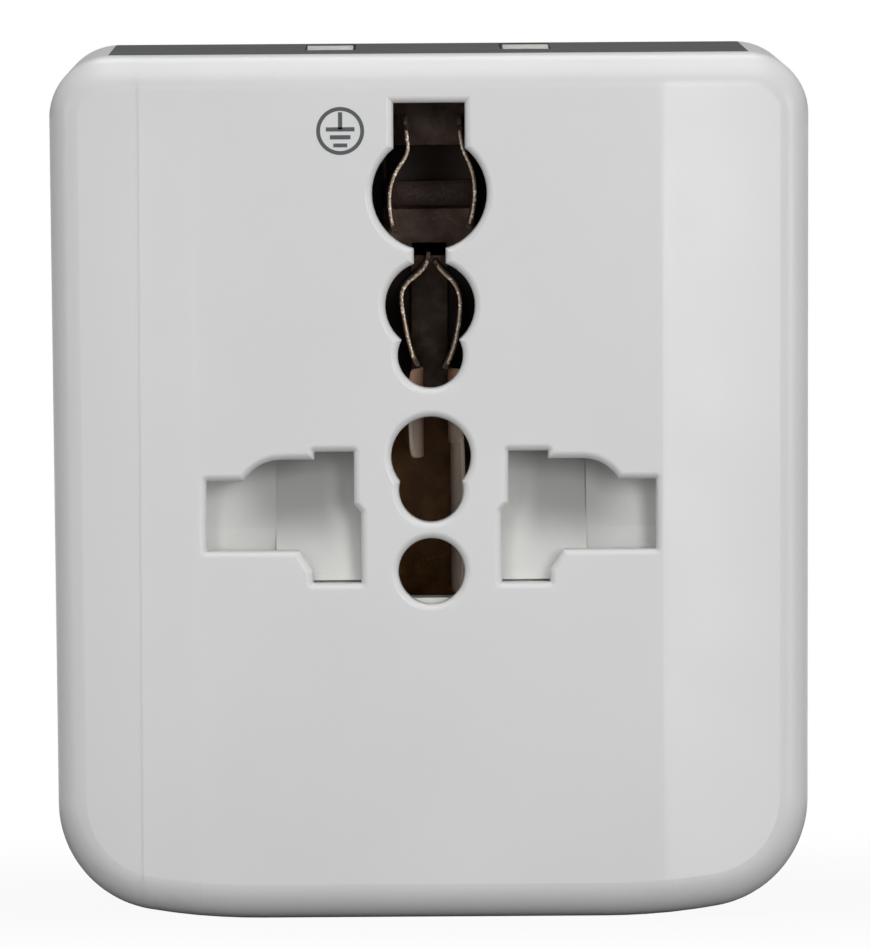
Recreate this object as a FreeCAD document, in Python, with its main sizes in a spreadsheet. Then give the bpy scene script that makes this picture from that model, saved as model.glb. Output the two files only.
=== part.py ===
# A travel adapter: a pocket-size body with a shuttered universal socket in front and three sets of
# plug pins that slide out of the rear. Millimetres, +Z up. The socket faces -Y, the pins leave along
# +Y, and the origin lies on the floor under the middle of the body.
import FreeCAD
import Part
import Sketcher
import math
import operator
import os
from types import SimpleNamespace

Vector = FreeCAD.Vector
DOC = FreeCAD.newDocument("travel_adapter")

# Driving dimensions, in millimetres unless a name says degrees. Heights whose names start with
# hole, slot, column or shutter, or hold leaf or bridge, are counted from the line through the two
# live holes of the socket. At this depth of body the earth pin reaches the 22.7 mm that its
# standard asks for, and the other plugs are shorter by what their names say.
SIZES = {
    # Body
    "body_width": 48.8,
    "body_height": 55.5,
    "body_depth": 54.0,
    "wall": 2.0,
    "side_lean_degrees": 0.4,
    "top_corner": 4.0,
    "bottom_corner": 7.0,
    "bottom_bow": 0.5,
    "bottom_flat_half": 11.0,
    "front_shell_depth": 22.0,
    "edge_round": 2.2,
    # Relief of the front face
    "plateau_half": 18.65,
    "plateau_flat_half": 15.1,
    "plateau_blend": 0.3,
    "plateau_rise": 0.5,
    "crease_step": 0.06,
    "shoulder_degrees": 9.0,
    # Inlaid panels and their sliding knobs
    "panel_thick": 1.0,
    "top_panel_half": 20.6,
    "bottom_panel_half": 8.0,
    "panel_front_margin": 0.4,
    "panel_rear_margin": 2.4,
    "knob_offset": 6.35,
    "knob_width": 3.0,
    "knob_length": 6.5,
    "knob_lead": 2.8,
    "knob_proud": 0.2,
    "stem_width": 2.0,
    "uk_knob_length": 5.0,
    "uk_knob_lead": 1.9,
    # Play between pieces
    "slide_play": 0.15,
    "running_play": 0.06,
    "seat_play": 0.02,
    "free_play": 0.3,
    "foot_gap": 0.15,
    # Socket holes
    "line_drop": 29.6,
    "rim_round": 0.45,
    "corner_round": 0.05,
    "slot_outer": 14.42,
    "slot_half_height": 2.25,
    "round_pin_x": 9.7,
    "round_pin_height": 0.9,
    "round_pin_bore": 2.7,
    "column_outer": 7.5,
    "column_upper_inner": 4.97,
    "column_lower_inner": 4.52,
    "column_top": 4.1,
    "column_bottom": 4.35,
    "column_jog_top": 0.75,
    "column_jog_bottom": 0.2,
    "column_foot": 3.55,
    "slot_inner": 8.47,
    "hole_earth_half": 2.29,
    "hole_earth_top": 26.46,
    "hole_earth_height": 20.65,
    "hole_earth_bore": 3.69,
    "hole_neck_half": 1.02,
    "hole_second_height": 13.44,
    "hole_second_bore": 2.88,
    "hole_third_height": 10.24,
    "hole_third_bore": 2.1,
    "hole_fourth_height": 3.76,
    "hole_fourth_bore": 2.56,
    "hole_fifth_height": 1.6,
    "hole_fifth_bore": 2.07,
    "hole_lowest_drop": 3.61,
    "hole_lowest_bore": 2.13,
    # Socket insert and its metal
    "insert_half": 16.6,
    "insert_front": 7.4,
    "insert_depth": 16.8,
    "insert_floor": 1.2,
    "insert_below": 7.5,
    "divider": 1.0,
    "sheet": 0.4,
    "tab_half": 1.0,
    "live_plate_half": 4.3,
    "live_leaf_seat": 3.85,
    "live_leaf_pinch": 2.35,
    "live_leaf_tip": 3.7,
    "blade_leaf_half": 3.0,
    "blade_leaf_seat": 0.5,
    "blade_leaf_pinch": 0.9,
    "leaf_root": 9.5,
    "leaf_pinch": 5.6,
    "leaf_tip": 0.9,
    "earth_leaf_pinch": 2.15,
    "earth_spine_half": 1.2,
    "low_leaf_bottom": 5.6,
    "low_leaf_top": 6.2,
    "middle_leaf_bottom": 8.6,
    "middle_leaf_top": 16.0,
    "high_leaf_bottom": 17.4,
    "high_leaf_top": 26.2,
    "bridge_bottom": 15.0,
    "bridge_top": 18.0,
    "strip": 0.5,
    "rail_half": 3.0,
    "earth_rail_x": 2.75,
    "earth_rail_tall": 6.0,
    "pillar_x": 10.5,
    "pillar_rise": 12.0,
    "pillar_radius": 2.4,
    # Shutter
    "shutter_lap": 0.4,
    "shutter_bar_top": 5.4,
    "shutter_bar_tall": 4.1,
    "ramp_step_x": 9.97,
    "ramp_back": 0.9,
    "ramp_foot": 4.22,
    "ramp_groove_tall": 0.35,
    "ramp_groove_deep": 1.2,
    "wing_slope_share": 0.66,
    "ramp_step_drop": 0.9,
    "guide_rib": 1.0,
    "spring_x": 11.0,
    "spring_seat_tall": 1.2,
    "spring_seat_half": 2.0,
    "spring_closed": 4.3,
    "spring_coil": 1.5,
    "spring_wire": 0.4,
    "spring_turns": 8.0,
    # Carriages of the three plugs and the guides beside them
    "insert_gap": 0.2,
    "carriage_thick": 4.4,
    "carriage_floor": 1.0,
    "cover_thick": 0.8,
    "stop_gap": 0.2,
    "tip_recess": 0.5,
    "guide_x": 18.0,
    "guide_thick": 1.4,
    "guide_low": 10.0,
    "guide_lap": 6.8,
    "shelf_thick": 1.0,
    # Flat-blade plug
    "us_line_drop": 12.0,
    "us_spacing": 12.7,
    "us_blade_thick": 1.5,
    "us_blade_wide": 6.35,
    "us_shorter": 5.0,
    "us_block_below": 0.6,
    "us_block_above": 1.0,
    "us_block_side": 0.45,
    "drum_radius": 3.7,
    "drum_floor": 0.6,
    # Round-pin plug
    "eu_line": 24.0,
    "eu_spacing": 19.0,
    "eu_pin_radius": 2.0,
    "eu_core_radius": 1.6,
    "eu_shorter": 3.5,
    "eu_sleeve": 10.0,
    "eu_block_half": 3.7,
    "eu_block_below": 3.5,
    "eu_bar_tall": 3.2,
    "eu_bar_gap": 1.6,
    "eu_post_x": 11.0,
    "eu_post_wide": 3.0,
    "eu_finger_tall": 3.0,
    "eu_top_gap": 1.5,
    # Square-pin plug
    "uk_line": 7.5,
    "uk_spacing": 22.2,
    "uk_earth_rise": 22.23,
    "uk_pin_wide": 6.35,
    "uk_pin_tall": 3.97,
    "uk_earth_tall": 7.92,
    "uk_pin_shorter": 5.0,
    "uk_sleeve": 9.0,
    "uk_block_below": 3.9,
    "uk_block_above": 4.3,
    "uk_block_side": 0.9,
    # Screws
    "boss_radius": 2.8,
    "boss_lead": 0.6,
    "screw_side_margin": 3.8,
    "screw_top_margin": 4.3,
    "screw_low_z": 5.2,
    "screw_radius": 1.1,
    "screw_head_radius": 1.95,
    "screw_head_thick": 1.4,
    "screw_seat_depth": 13.0,
    "case_screw_grip": 10.0,
    "insert_screw_inset": 1.6,
}


class Size:
    """A number that remembers the sheet expression it was worked out from."""

    def __init__(self, value, text):
        self.value = value
        self.text = text

    def __add__(self, other):
        return joined(self, "+", other)

    def __radd__(self, other):
        return joined(other, "+", self)

    def __sub__(self, other):
        return joined(self, "-", other)

    def __rsub__(self, other):
        return joined(other, "-", self)

    def __mul__(self, other):
        return joined(self, "*", other)

    def __rmul__(self, other):
        return joined(other, "*", self)

    def __truediv__(self, other):
        return joined(self, "/", other)

    def __neg__(self):
        return joined(0, "-", self)

    def __abs__(self):
        return Size(abs(self.value), f"abs({self.text})")


SIGNS = {"+": operator.add, "-": operator.sub, "*": operator.mul, "/": operator.truediv}


def as_size(number):
    return number if isinstance(number, Size) else Size(float(number), repr(float(number)))


def joined(left, sign, right):
    left = as_size(left)
    right = as_size(right)
    return Size(SIGNS[sign](left.value, right.value), f"({left.text} {sign} {right.text})")


def root(size):
    return Size(math.sqrt(size.value), f"sqrt({size.text})")


def sine(degrees):
    return Size(math.sin(math.radians(degrees.value)), f"sin({degrees.text})")


def make_sheet():
    """Write the driving dimensions to the spreadsheet and hand them back as named sizes."""
    sheet = DOC.addObject("Spreadsheet::Sheet", "Sizes")
    for row, (name, value) in enumerate(SIZES.items(), 1):
        sheet.set(f"A{row}", name)
        sheet.set(f"B{row}", str(value))
        sheet.setAlias(f"B{row}", name)
    DOC.recompute()
    return SimpleNamespace(**{name: Size(value, f"Sizes.{name}") for name, value in SIZES.items()})


S = make_sheet()


def bind(thing, path, size):
    thing.setExpression(path, as_size(size).text)


# Solids between bounds. A bound is a size or a number.

def block(name, x, y, z):
    """Box between a low and a high bound on each axis."""
    box = DOC.addObject("Part::Box", name)
    for letter, side, (low, high) in zip("xyz", ("Length", "Width", "Height"), (x, y, z)):
        bind(box, side, as_size(high) - low)
        bind(box, "Placement.Base." + letter, low)
    return box


TURNS = {
    "x": FreeCAD.Rotation(Vector(0, 1, 0), 90),
    "y": FreeCAD.Rotation(Vector(1, 0, 0), -90),
    "z": FreeCAD.Rotation(),
}


def rod(name, x, y, z, radius):
    """Cylinder along the axis whose place is a pair of bounds."""
    cylinder = DOC.addObject("Part::Cylinder", name)
    places = dict(zip("xyz", (x, y, z)))
    axis = next(letter for letter, place in places.items() if isinstance(place, tuple))
    low, high = places[axis]
    places[axis] = low
    cylinder.Placement = FreeCAD.Placement(Vector(), TURNS[axis])
    for letter, place in places.items():
        bind(cylinder, "Placement.Base." + letter, place)
    bind(cylinder, "Radius", radius)
    bind(cylinder, "Height", as_size(high) - low)
    return cylinder


def fuse(name, *pieces):
    union = DOC.addObject("Part::MultiFuse", name)
    union.Shapes = list(pieces)
    union.Refine = True
    return union


def common(name, first, *others):
    """What all the pieces share, taken two at a time."""
    for number, other in enumerate(others, 1):
        overlap = DOC.addObject("Part::Common", name if number == len(others) else name + "_step")
        overlap.Base = first
        overlap.Tool = other
        overlap.Refine = False
        first = overlap
    return first


def cut(name, base, *tools):
    """The base less each tool, one after the other."""
    for number, tool in enumerate(tools, 1):
        rest = DOC.addObject("Part::Cut", name if number == len(tools) else name + "_step")
        rest.Base = base
        rest.Tool = tool
        rest.Refine = False
        base = rest
    return base


def group(name, *pieces):
    """Separate solids that share one node."""
    compound = DOC.addObject("Part::Compound", name)
    compound.Links = list(pieces)
    return compound


def mirrored(name, source):
    """The same piece on the other side of the middle plane."""
    mirror = DOC.addObject("Part::Mirroring", name)
    mirror.Source = source
    mirror.Normal = Vector(1, 0, 0)
    return mirror


# Bodies made from sketches. An outline is a list of corners (a, b) in its plane, and a third value
# in a corner bends the edge that leaves it: left when positive, right when negative.

def bend(start, end, radius):
    """The arc between two points, and which of its ends comes first and last."""
    half_chord = (end - start) * 0.5
    reach = math.sqrt(max(radius ** 2 - half_chord.Length ** 2, 0.0))
    left = Vector(-half_chord.y, half_chord.x, 0).normalize()
    centre = start + half_chord + left * math.copysign(reach, radius)
    circle = Part.Circle(centre, Vector(0, 0, 1), abs(radius))
    from_angle = math.atan2(start.y - centre.y, start.x - centre.x)
    to_angle = math.atan2(end.y - centre.y, end.x - centre.x)
    if radius < 0:
        from_angle, to_angle = to_angle, from_angle
    if to_angle <= from_angle:
        to_angle += 2 * math.pi
    ends = (1, 2) if radius > 0 else (2, 1)
    return Part.ArcOfCircle(circle, from_angle, to_angle), ends


def hold(sketch, kind, size, *places):
    """A dimension of the sketch that follows a size."""
    index = sketch.addConstraint(Sketcher.Constraint(kind, *places, size.value))
    sketch.setExpression(f"Constraints[{index}]", size.text)


def draw(sketch, outline):
    """Draw a closed outline whose every corner is held by its coordinates."""
    corners = [tuple(as_size(part) for part in corner) for corner in outline]
    ends = []
    for corner, following in zip(corners, corners[1:] + corners[:1]):
        start = Vector(corner[0].value, corner[1].value, 0)
        end = Vector(following[0].value, following[1].value, 0)
        if len(corner) == 3:
            edge, order = bend(start, end, corner[2].value)
        else:
            edge, order = Part.LineSegment(start, end), (1, 2)
        sketch.addGeometry(edge)
        ends.append(order)
    for index, corner in enumerate(corners):
        following = (index + 1) % len(corners)
        sketch.addConstraint(
            Sketcher.Constraint("Coincident", index, ends[index][1], following, ends[following][0]))
        hold(sketch, "DistanceX", corner[0], -1, 1, index, ends[index][0])
        hold(sketch, "DistanceY", corner[1], -1, 1, index, ends[index][0])
        if len(corner) == 3:
            hold(sketch, "Radius", abs(corner[2]), index)


# Each origin plane with the sign of its normal on its own axis.
NORMALS = {"XY_Plane": 1, "XZ_Plane": -1, "YZ_Plane": 1}


def sketch_in(body, plane, at, outline):
    sketch = body.newObject("Sketcher::SketchObject", body.Name + "_outline")
    origin_plane = next(item for item in body.Origin.OriginFeatures if item.Role == plane)
    sketch.AttachmentSupport = [(origin_plane, "")]
    sketch.MapMode = "FlatFace"
    bind(sketch, "AttachmentOffset.Base.z", as_size(at) * NORMALS[plane])
    draw(sketch, outline)
    return sketch


def pad(body, plane, outline, low, high):
    """Add the outline's prism between two bounds along the plane's axis."""
    feature = body.newObject("PartDesign::Pad", body.Name + "_pad")
    feature.Profile = sketch_in(body, plane, low if NORMALS[plane] > 0 else high, outline)
    bind(feature, "Length", as_size(high) - low)
    return feature


def pocket(body, plane, outline, low, high):
    """Take the outline's prism away between two bounds along the plane's axis."""
    feature = body.newObject("PartDesign::Pocket", body.Name + "_pocket")
    feature.Profile = sketch_in(body, plane, high if NORMALS[plane] > 0 else low, outline)
    bind(feature, "Length", as_size(high) - low)
    return feature


def prism(name, plane, outline, low, high):
    """A body that is one padded outline."""
    body = DOC.addObject("PartDesign::Body", name)
    pad(body, plane, outline, low, high)
    return body


def soften(body, radius, wanted):
    """Round the edges of the body's present shape that pass a test."""
    DOC.recompute()
    tip = body.Tip
    names = [f"Edge{number}" for number, edge in enumerate(tip.Shape.Edges, 1) if wanted(edge)]
    fillet = body.newObject("PartDesign::Fillet", body.Name + "_fillet")
    fillet.Base = (tip, names)
    bind(fillet, "Radius", radius)
    return fillet


def lies_between(edge, axis, low, high, slack=0.01):
    bounds = edge.BoundBox
    return (getattr(bounds, axis + "Min") > as_size(low).value - slack
            and getattr(bounds, axis + "Max") < as_size(high).value + slack)


# Places that several pieces share. The depth of the body sets how far the plugs can travel.

FRONT = -S.body_depth / 2
REAR = S.body_depth / 2
SEAM = FRONT + S.front_shell_depth
FRONT_INNER = FRONT + S.plateau_rise + S.wall
REAR_INNER = REAR - S.wall
ROUND_END = FRONT + S.plateau_rise + S.edge_round
SHOULDER_END = ROUND_END + S.panel_front_margin / 2
PANEL_FRONT = ROUND_END + S.panel_front_margin
PANEL_REAR = REAR - S.panel_rear_margin
TOP_SEAT = S.body_height - S.panel_thick
TOP_INNER = S.body_height - S.wall
LINE = S.body_height - S.line_drop
LEAN = sine(S.side_lean_degrees)
INSERT_FRONT = FRONT + S.insert_front
INSERT_REAR = INSERT_FRONT + S.insert_depth
INSERT_LOW = LINE - S.insert_below
CARRIAGE_FRONT = INSERT_REAR + S.insert_gap
CARRIAGE_REAR = CARRIAGE_FRONT + S.carriage_thick
TIP_REST = REAR - S.tip_recess
UK_TRAVEL = REAR_INNER - S.stop_gap - CARRIAGE_REAR
UK_EARTH_REACH = UK_TRAVEL - S.free_play
UK_PIN_REACH = UK_EARTH_REACH - S.uk_pin_shorter
US_TRAVEL = UK_TRAVEL - S.us_shorter
EU_TRAVEL = UK_TRAVEL - S.eu_shorter
KNOB_FRONT = CARRIAGE_FRONT - S.knob_lead
KNOB_REAR = KNOB_FRONT + S.knob_length
UK_KNOB_FRONT = CARRIAGE_FRONT - S.uk_knob_lead
UK_KNOB_REAR = UK_KNOB_FRONT + S.uk_knob_length
POCKET_IN = S.column_lower_inner - S.shutter_lap / 2
POCKET_OUT = S.slot_outer + 1.5 * S.shutter_lap
POCKET_HALF = S.column_bottom + S.shutter_lap
LIVE_FLOOR = INSERT_REAR - 2 * S.insert_floor
EARTH_FLOOR = INSERT_REAR - S.insert_floor
COLUMN_LOW = LINE - S.hole_lowest_drop - S.hole_lowest_bore
COLUMN_TOP = LINE + S.hole_earth_top
INSERT_SCREW_SEAT = INSERT_REAR - S.screw_head_thick - S.slide_play
SPRING_SEAT_TOP = S.wall + S.spring_seat_tall
BAR_TOP = LINE - S.shutter_bar_top
BAR_BOTTOM = BAR_TOP - S.shutter_bar_tall
SHUTTER_TRAVEL = BAR_BOTTOM - SPRING_SEAT_TOP - S.spring_closed
RAIL_X = S.guide_x - S.strip
EARTH_RAIL = (S.earth_rail_x, S.earth_rail_x + S.strip)
EARTH_RAIL_Z = (LINE, LINE + S.earth_rail_tall)
US_X = S.us_spacing / 2
US_LINE = S.body_height - S.us_line_drop
US_BLOCK = (US_LINE - S.drum_radius - S.us_block_below, US_LINE + S.drum_radius + S.us_block_above)
EU_X = S.eu_spacing / 2
EU_LOW = S.eu_line - S.eu_block_below
EU_BAR_TOP = US_BLOCK[0] - S.eu_bar_gap
EU_BAR = (EU_BAR_TOP - S.eu_bar_tall, EU_BAR_TOP)
EU_POST = (S.eu_post_x, S.eu_post_x + S.eu_post_wide)
EU_TOP = TOP_INNER - S.eu_top_gap
UK_X = S.uk_spacing / 2
UK_EARTH_Z = S.uk_line + S.uk_earth_rise
UK_BLOCK = (S.uk_line - S.uk_block_below, S.uk_line + S.uk_block_above)
SCREW_SEAT = SEAM + S.screw_seat_depth
SCREW_X = S.body_width / 2 - S.screw_side_margin
SCREW_Z = (S.screw_low_z, S.body_height - S.screw_top_margin)
SCREWS = [(side * SCREW_X, height) for side in (-1, 1) for height in SCREW_Z]
NODES = []


def node(piece, name):
    """Give a finished piece its name and put it on the list of nodes."""
    piece.Label = name
    NODES.append(piece)
    return piece


def run_in(lean):
    """How far a leaning side runs in from the middle of the head corner's arc to that of the foot's."""
    height = S.body_height - S.top_corner - S.bottom_bow - S.bottom_corner
    return (height * lean - S.top_corner + S.bottom_corner) / root(1 - lean * lean)


def body_outline(inset, lean=LEAN):
    """The rounded outline of the body seen from the front, moved inwards by inset.

    The sides lean in towards the floor by an angle whose sine is lean. The floor line is flat in the middle,
    bows up along a wide arc and runs into the corner's arc. It stays the same for any lean."""
    upright = root(1 - lean * lean)
    top = S.body_height - inset
    upper = S.top_corner - inset
    lower = S.bottom_corner - inset
    foot_x = S.body_width / 2 - S.top_corner - run_in(LEAN)
    foot_z = S.bottom_bow + S.bottom_corner
    head_x = foot_x + run_in(lean)
    head_z = S.body_height - S.top_corner
    flat = S.bottom_flat_half
    run = foot_x - flat
    spread = (run * run + S.bottom_bow * S.bottom_bow) / (2 * S.bottom_bow)
    wide = spread + lower
    turn_x = flat + wide * run / spread
    turn_z = inset + wide * S.bottom_bow / spread
    side_foot = (foot_x + lower * upright, foot_z - lower * lean)
    side_head = (head_x + upper * upright, head_z - upper * lean)
    return [
        (-flat, inset),
        (flat, inset, wide),
        (turn_x, turn_z, lower),
        side_foot,
        (*side_head, upper),
        (head_x, top),
        (-head_x, top, upper),
        (-side_head[0], side_head[1]),
        (-side_foot[0], side_foot[1], lower),
        (-turn_x, turn_z, wide),
    ]


# Front shell

def live_hole():
    """The many-cornered hole for a live pin of any country, on the right of the middle."""
    half = S.slot_half_height
    reach = root(S.round_pin_bore * S.round_pin_bore
                 - (half - S.round_pin_height) * (half - S.round_pin_height))
    crown = S.round_pin_height + S.round_pin_bore
    corners = [
        (S.slot_outer, LINE - half),
        (S.slot_outer, LINE + half),
        (S.round_pin_x + reach, LINE + half, S.round_pin_bore),
        (S.round_pin_x, LINE + crown),
        (S.column_outer, LINE + crown),
        (S.column_outer, LINE + S.column_top),
        (S.column_upper_inner, LINE + S.column_top),
        (S.column_upper_inner, LINE + S.column_jog_top),
        (S.column_lower_inner, LINE + S.column_jog_bottom),
        (S.column_lower_inner, LINE - S.column_bottom),
        (S.column_outer + 0.1, LINE - S.column_bottom),
        (S.column_outer + 0.1, LINE - S.column_foot),
        (S.slot_inner, LINE - half),
    ]
    hole = prism("live_hole", "XZ_Plane", corners, FRONT - 1, FRONT_INNER + 1)
    crown_x = S.round_pin_x.value

    def is_corner(edge):
        upright = lies_between(edge, "X", edge.BoundBox.XMin, edge.BoundBox.XMin)
        along = edge.BoundBox.YLength > 1
        return upright and along and abs(edge.BoundBox.XMin - crown_x) > 0.05

    soften(hole, S.corner_round, is_corner)
    return hole


def centre_holes():
    """The holes of the middle column, for the earth pins of several countries."""
    span = (FRONT - 1, FRONT_INNER + 1)

    def bore(name, height, radius):
        return rod(name, 0, span, LINE + height, radius)

    slot = block("earth_slot", (-S.hole_earth_half, S.hole_earth_half), span,
                 (LINE + S.hole_earth_height, LINE + S.hole_earth_top))
    neck = block("earth_neck", (-S.hole_neck_half, S.hole_neck_half), span,
                 (LINE + S.hole_second_height, LINE + S.hole_earth_height))
    return fuse(
        "centre_holes",
        slot,
        bore("earth_bore", S.hole_earth_height, S.hole_earth_bore),
        neck,
        bore("second_bore", S.hole_second_height, S.hole_second_bore),
        bore("third_bore", S.hole_third_height, S.hole_third_bore),
        bore("fourth_bore", S.hole_fourth_height, S.hole_fourth_bore),
        bore("fifth_bore", S.hole_fifth_height, S.hole_fifth_bore),
        bore("lowest_bore", -S.hole_lowest_drop, S.hole_lowest_bore),
    )


def front_block():
    """The front of the body without its plateau: a crowned face with a rounded edge all round."""
    body = DOC.addObject("PartDesign::Body", "front_block")
    pad(body, "XZ_Plane", body_outline(0), FRONT - 1, SEAM)
    half = S.body_width / 2 + 1
    middle = (S.plateau_half + S.body_width / 2) / 2
    crown = middle / sine(S.shoulder_degrees)
    at_crease = crown - root(crown * crown - S.plateau_half * S.plateau_half)
    at_side = crown - root(crown * crown - half * half)
    side_y = FRONT + S.plateau_rise + at_side - at_crease
    before = FRONT - 2
    pocket(body, "XY_Plane", [(-half, before), (half, before), (half, side_y, -crown), (-half, side_y)],
           -1, S.body_height + 1)
    soften(body, S.edge_round, lambda edge: lies_between(edge, "Y", FRONT - 2, side_y))
    space = block("plateau_space", (-S.plateau_half, S.plateau_half), (before, SHOULDER_END),
                  (-1, S.body_height + 1))
    return cut("front_shoulders", body, space)


def plateau():
    """The raised middle of the front face, with a sloping facet at each side, rounded above and below.

    It is rounded as a slab as wide as the body, with upright sides, so that the rounding runs along the
    whole outline."""
    run = S.plateau_half - S.plateau_flat_half
    fall = S.plateau_rise - S.crease_step
    facet = root(run * run + fall * fall)
    blend_in = S.plateau_flat_half - S.plateau_blend
    blend_out = S.plateau_flat_half + S.plateau_blend * run / facet
    blend_y = FRONT + S.plateau_blend * fall / facet
    blend_round = S.plateau_blend * (facet + run) / fall
    beyond = S.body_width / 2 + 1
    side_y = FRONT + (beyond - S.plateau_flat_half) * fall / run
    body = DOC.addObject("PartDesign::Body", "plateau_slab")
    pad(body, "XZ_Plane", body_outline(0, as_size(0)), FRONT, side_y + S.edge_round + 1)
    for side in (1, -1):
        outside = [
            (side * blend_in, FRONT, side * blend_round),
            (side * blend_out, blend_y),
            (side * beyond, side_y),
            (side * beyond, FRONT - 1),
            (side * blend_in, FRONT - 1),
        ]
        pocket(body, "XY_Plane", outside, -1, S.body_height + 1)
    seams = [side * across for side in (1, -1) for across in (blend_in, blend_out)]
    soften(body, S.edge_round, lambda edge: lies_between(edge, "Y", FRONT, side_y)
           and not any(lies_between(edge, "X", seam, seam) for seam in seams))
    middle = block("plateau_middle", (-S.plateau_half, S.plateau_half), (FRONT - 1, SHOULDER_END),
                   (-1, S.body_height + 1))
    return common("plateau", body, middle)


def slot(name, x, width, front, rear, low, high):
    """A slot along the body with sliding play on every side of what runs in it."""
    half = width / 2 + S.slide_play
    return block(name, (x - half, x + half), (front - S.slide_play, rear + S.slide_play), (low, high))


def wall_cuts():
    """Recesses for the two panels and the slots under them."""
    above = S.body_height + 1
    below = TOP_INNER - 1
    return fuse(
        "wall_cuts",
        block("top_recess", (-S.top_panel_half, S.top_panel_half), (PANEL_FRONT, PANEL_REAR),
              (TOP_SEAT, above)),
        block("bottom_recess", (-S.bottom_panel_half, S.bottom_panel_half), (PANEL_FRONT, PANEL_REAR),
              (-1, S.panel_thick)),
        slot("us_stem_slot", -S.knob_offset, S.stem_width, KNOB_FRONT, KNOB_REAR + US_TRAVEL, below, above),
        slot("eu_stem_slot", S.knob_offset, S.stem_width, KNOB_FRONT, KNOB_REAR + EU_TRAVEL, below, above),
        slot("uk_stem_slot", 0, S.stem_width, UK_KNOB_FRONT, UK_KNOB_REAR + UK_TRAVEL, -1, S.wall + 1),
    )


def front_shell(cuts):
    hole = live_hole()
    centre = centre_holes()
    outside = fuse("front_outside", front_block(), plateau())
    cavity = prism("front_cavity", "XZ_Plane", body_outline(S.wall), FRONT_INNER, SEAM + 1)
    hollow = cut("front_hollow", outside, cavity, hole, mirrored("live_hole_mirror", hole), centre,
                 cuts)
    boss_span = (INSERT_FRONT - S.boss_lead, SEAM)
    front_bosses = [rod("front_boss", x, boss_span, z, S.boss_radius) for x, z in SCREWS]
    rib_in = S.slot_outer + S.shutter_lap + S.free_play
    lower = BAR_BOTTOM - SHUTTER_TRAVEL
    stop = LINE + S.column_top + S.shutter_lap + S.slide_play
    rib_span = (FRONT_INNER - 0.1, INSERT_FRONT)
    ribs = []
    for side in (-1, 1):
        inner = side * rib_in
        outer = side * (rib_in + S.guide_rib)
        bounds = (inner, outer) if side > 0 else (outer, inner)
        ribs.append(block("shutter_rib", bounds, rib_span, (lower, stop + S.guide_rib)))
        ledge = (side * S.slot_inner, inner) if side > 0 else (inner, side * S.slot_inner)
        ribs.append(block("shutter_stop", ledge, rib_span, (stop, stop + S.guide_rib)))
        ribs.append(rod("insert_pillar", side * S.pillar_x, rib_span, LINE + S.pillar_rise,
                        S.pillar_radius))
        seat = ordered(side * S.spring_x - S.spring_seat_half, side * S.spring_x + S.spring_seat_half)
        ribs.append(block("spring_seat", seat, rib_span, (S.wall / 2, SPRING_SEAT_TOP)))
    filled = fuse("front_filled", hollow, *front_bosses, *ribs)
    bore = S.screw_radius + S.seat_play
    pilots = [rod("front_pilot", x, (SEAM - S.case_screw_grip - 1, SEAM + 1), z, bore)
              for x, z in SCREWS]
    pilot_span = (FRONT_INNER + S.insert_screw_inset / 2, INSERT_FRONT + 1)
    pillar_pilots = [rod("pillar_pilot", x, pilot_span, z, bore) for x, z in insert_screw_places()]
    drilled = cut("front_drilled", filled, *pilots, *pillar_pilots)
    shell = DOC.addObject("PartDesign::Body", "front_shell")
    shell.BaseFeature = drilled
    for west, east in ((-S.slot_outer, -S.column_lower_inner), (-S.hole_earth_bore, S.hole_earth_bore),
                       (S.column_lower_inner, S.slot_outer)):
        soften(shell, S.rim_round, lambda edge: lies_between(edge, "Y", FRONT, FRONT)
               and lies_between(edge, "X", west, east)
               and lies_between(edge, "Z", COLUMN_LOW, COLUMN_TOP))
    return node(shell, "front_shell")


# Rear shell

def blade_sweep():
    """Radius of the circle that a flat blade turns in."""
    half_wide = S.us_blade_wide / 2
    half_thick = S.us_blade_thick / 2
    return root(half_wide * half_wide + half_thick * half_thick)


def square_hole(name, x, z, wide, tall, span, play):
    half_wide = wide / 2 + play
    half_tall = tall / 2 + play
    return block(name, (x - half_wide, x + half_wide), span, (z - half_tall, z + half_tall))


def rear_shell(cuts):
    body = DOC.addObject("PartDesign::Body", "rear_block")
    pad(body, "XZ_Plane", body_outline(0), SEAM, REAR)
    soften(body, S.edge_round, lambda edge: lies_between(edge, "Y", REAR, REAR))
    cavity = prism("rear_cavity", "XZ_Plane", body_outline(S.wall), SEAM - 1, REAR_INNER)
    hollow = cut("rear_hollow", body, cavity, cuts)
    bosses = [rod("rear_boss", x, (SEAM, REAR_INNER + 0.5), z, S.boss_radius) for x, z in SCREWS]
    filled = fuse("rear_filled", hollow, *bosses)
    through = (REAR_INNER - 1, REAR + 1)
    holes = []
    for x, z in SCREWS:
        holes.append(rod("rear_pilot", x, (SEAM - 1, SCREW_SEAT + 1), z, S.screw_radius + S.slide_play))
        holes.append(rod("rear_counterbore", x, (SCREW_SEAT, REAR + 1), z,
                         S.screw_head_radius + S.slide_play))
    for side in (-1, 1):
        holes.append(rod("eu_hole", side * EU_X, through, S.eu_line, S.eu_pin_radius + S.free_play / 2))
        holes.append(rod("us_hole", side * US_X, through, US_LINE, blade_sweep() + S.free_play))
        holes.append(square_hole("uk_hole", side * UK_X, S.uk_line, S.uk_pin_wide, S.uk_pin_tall, through,
                                 S.free_play / 2))
    holes.append(square_hole("uk_earth_hole", as_size(0), UK_EARTH_Z, S.uk_pin_tall, S.uk_earth_tall, through,
                             S.free_play / 2))
    return node(cut("rear_shell", filled, *holes), "rear_shell")


# Panels and knobs

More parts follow.
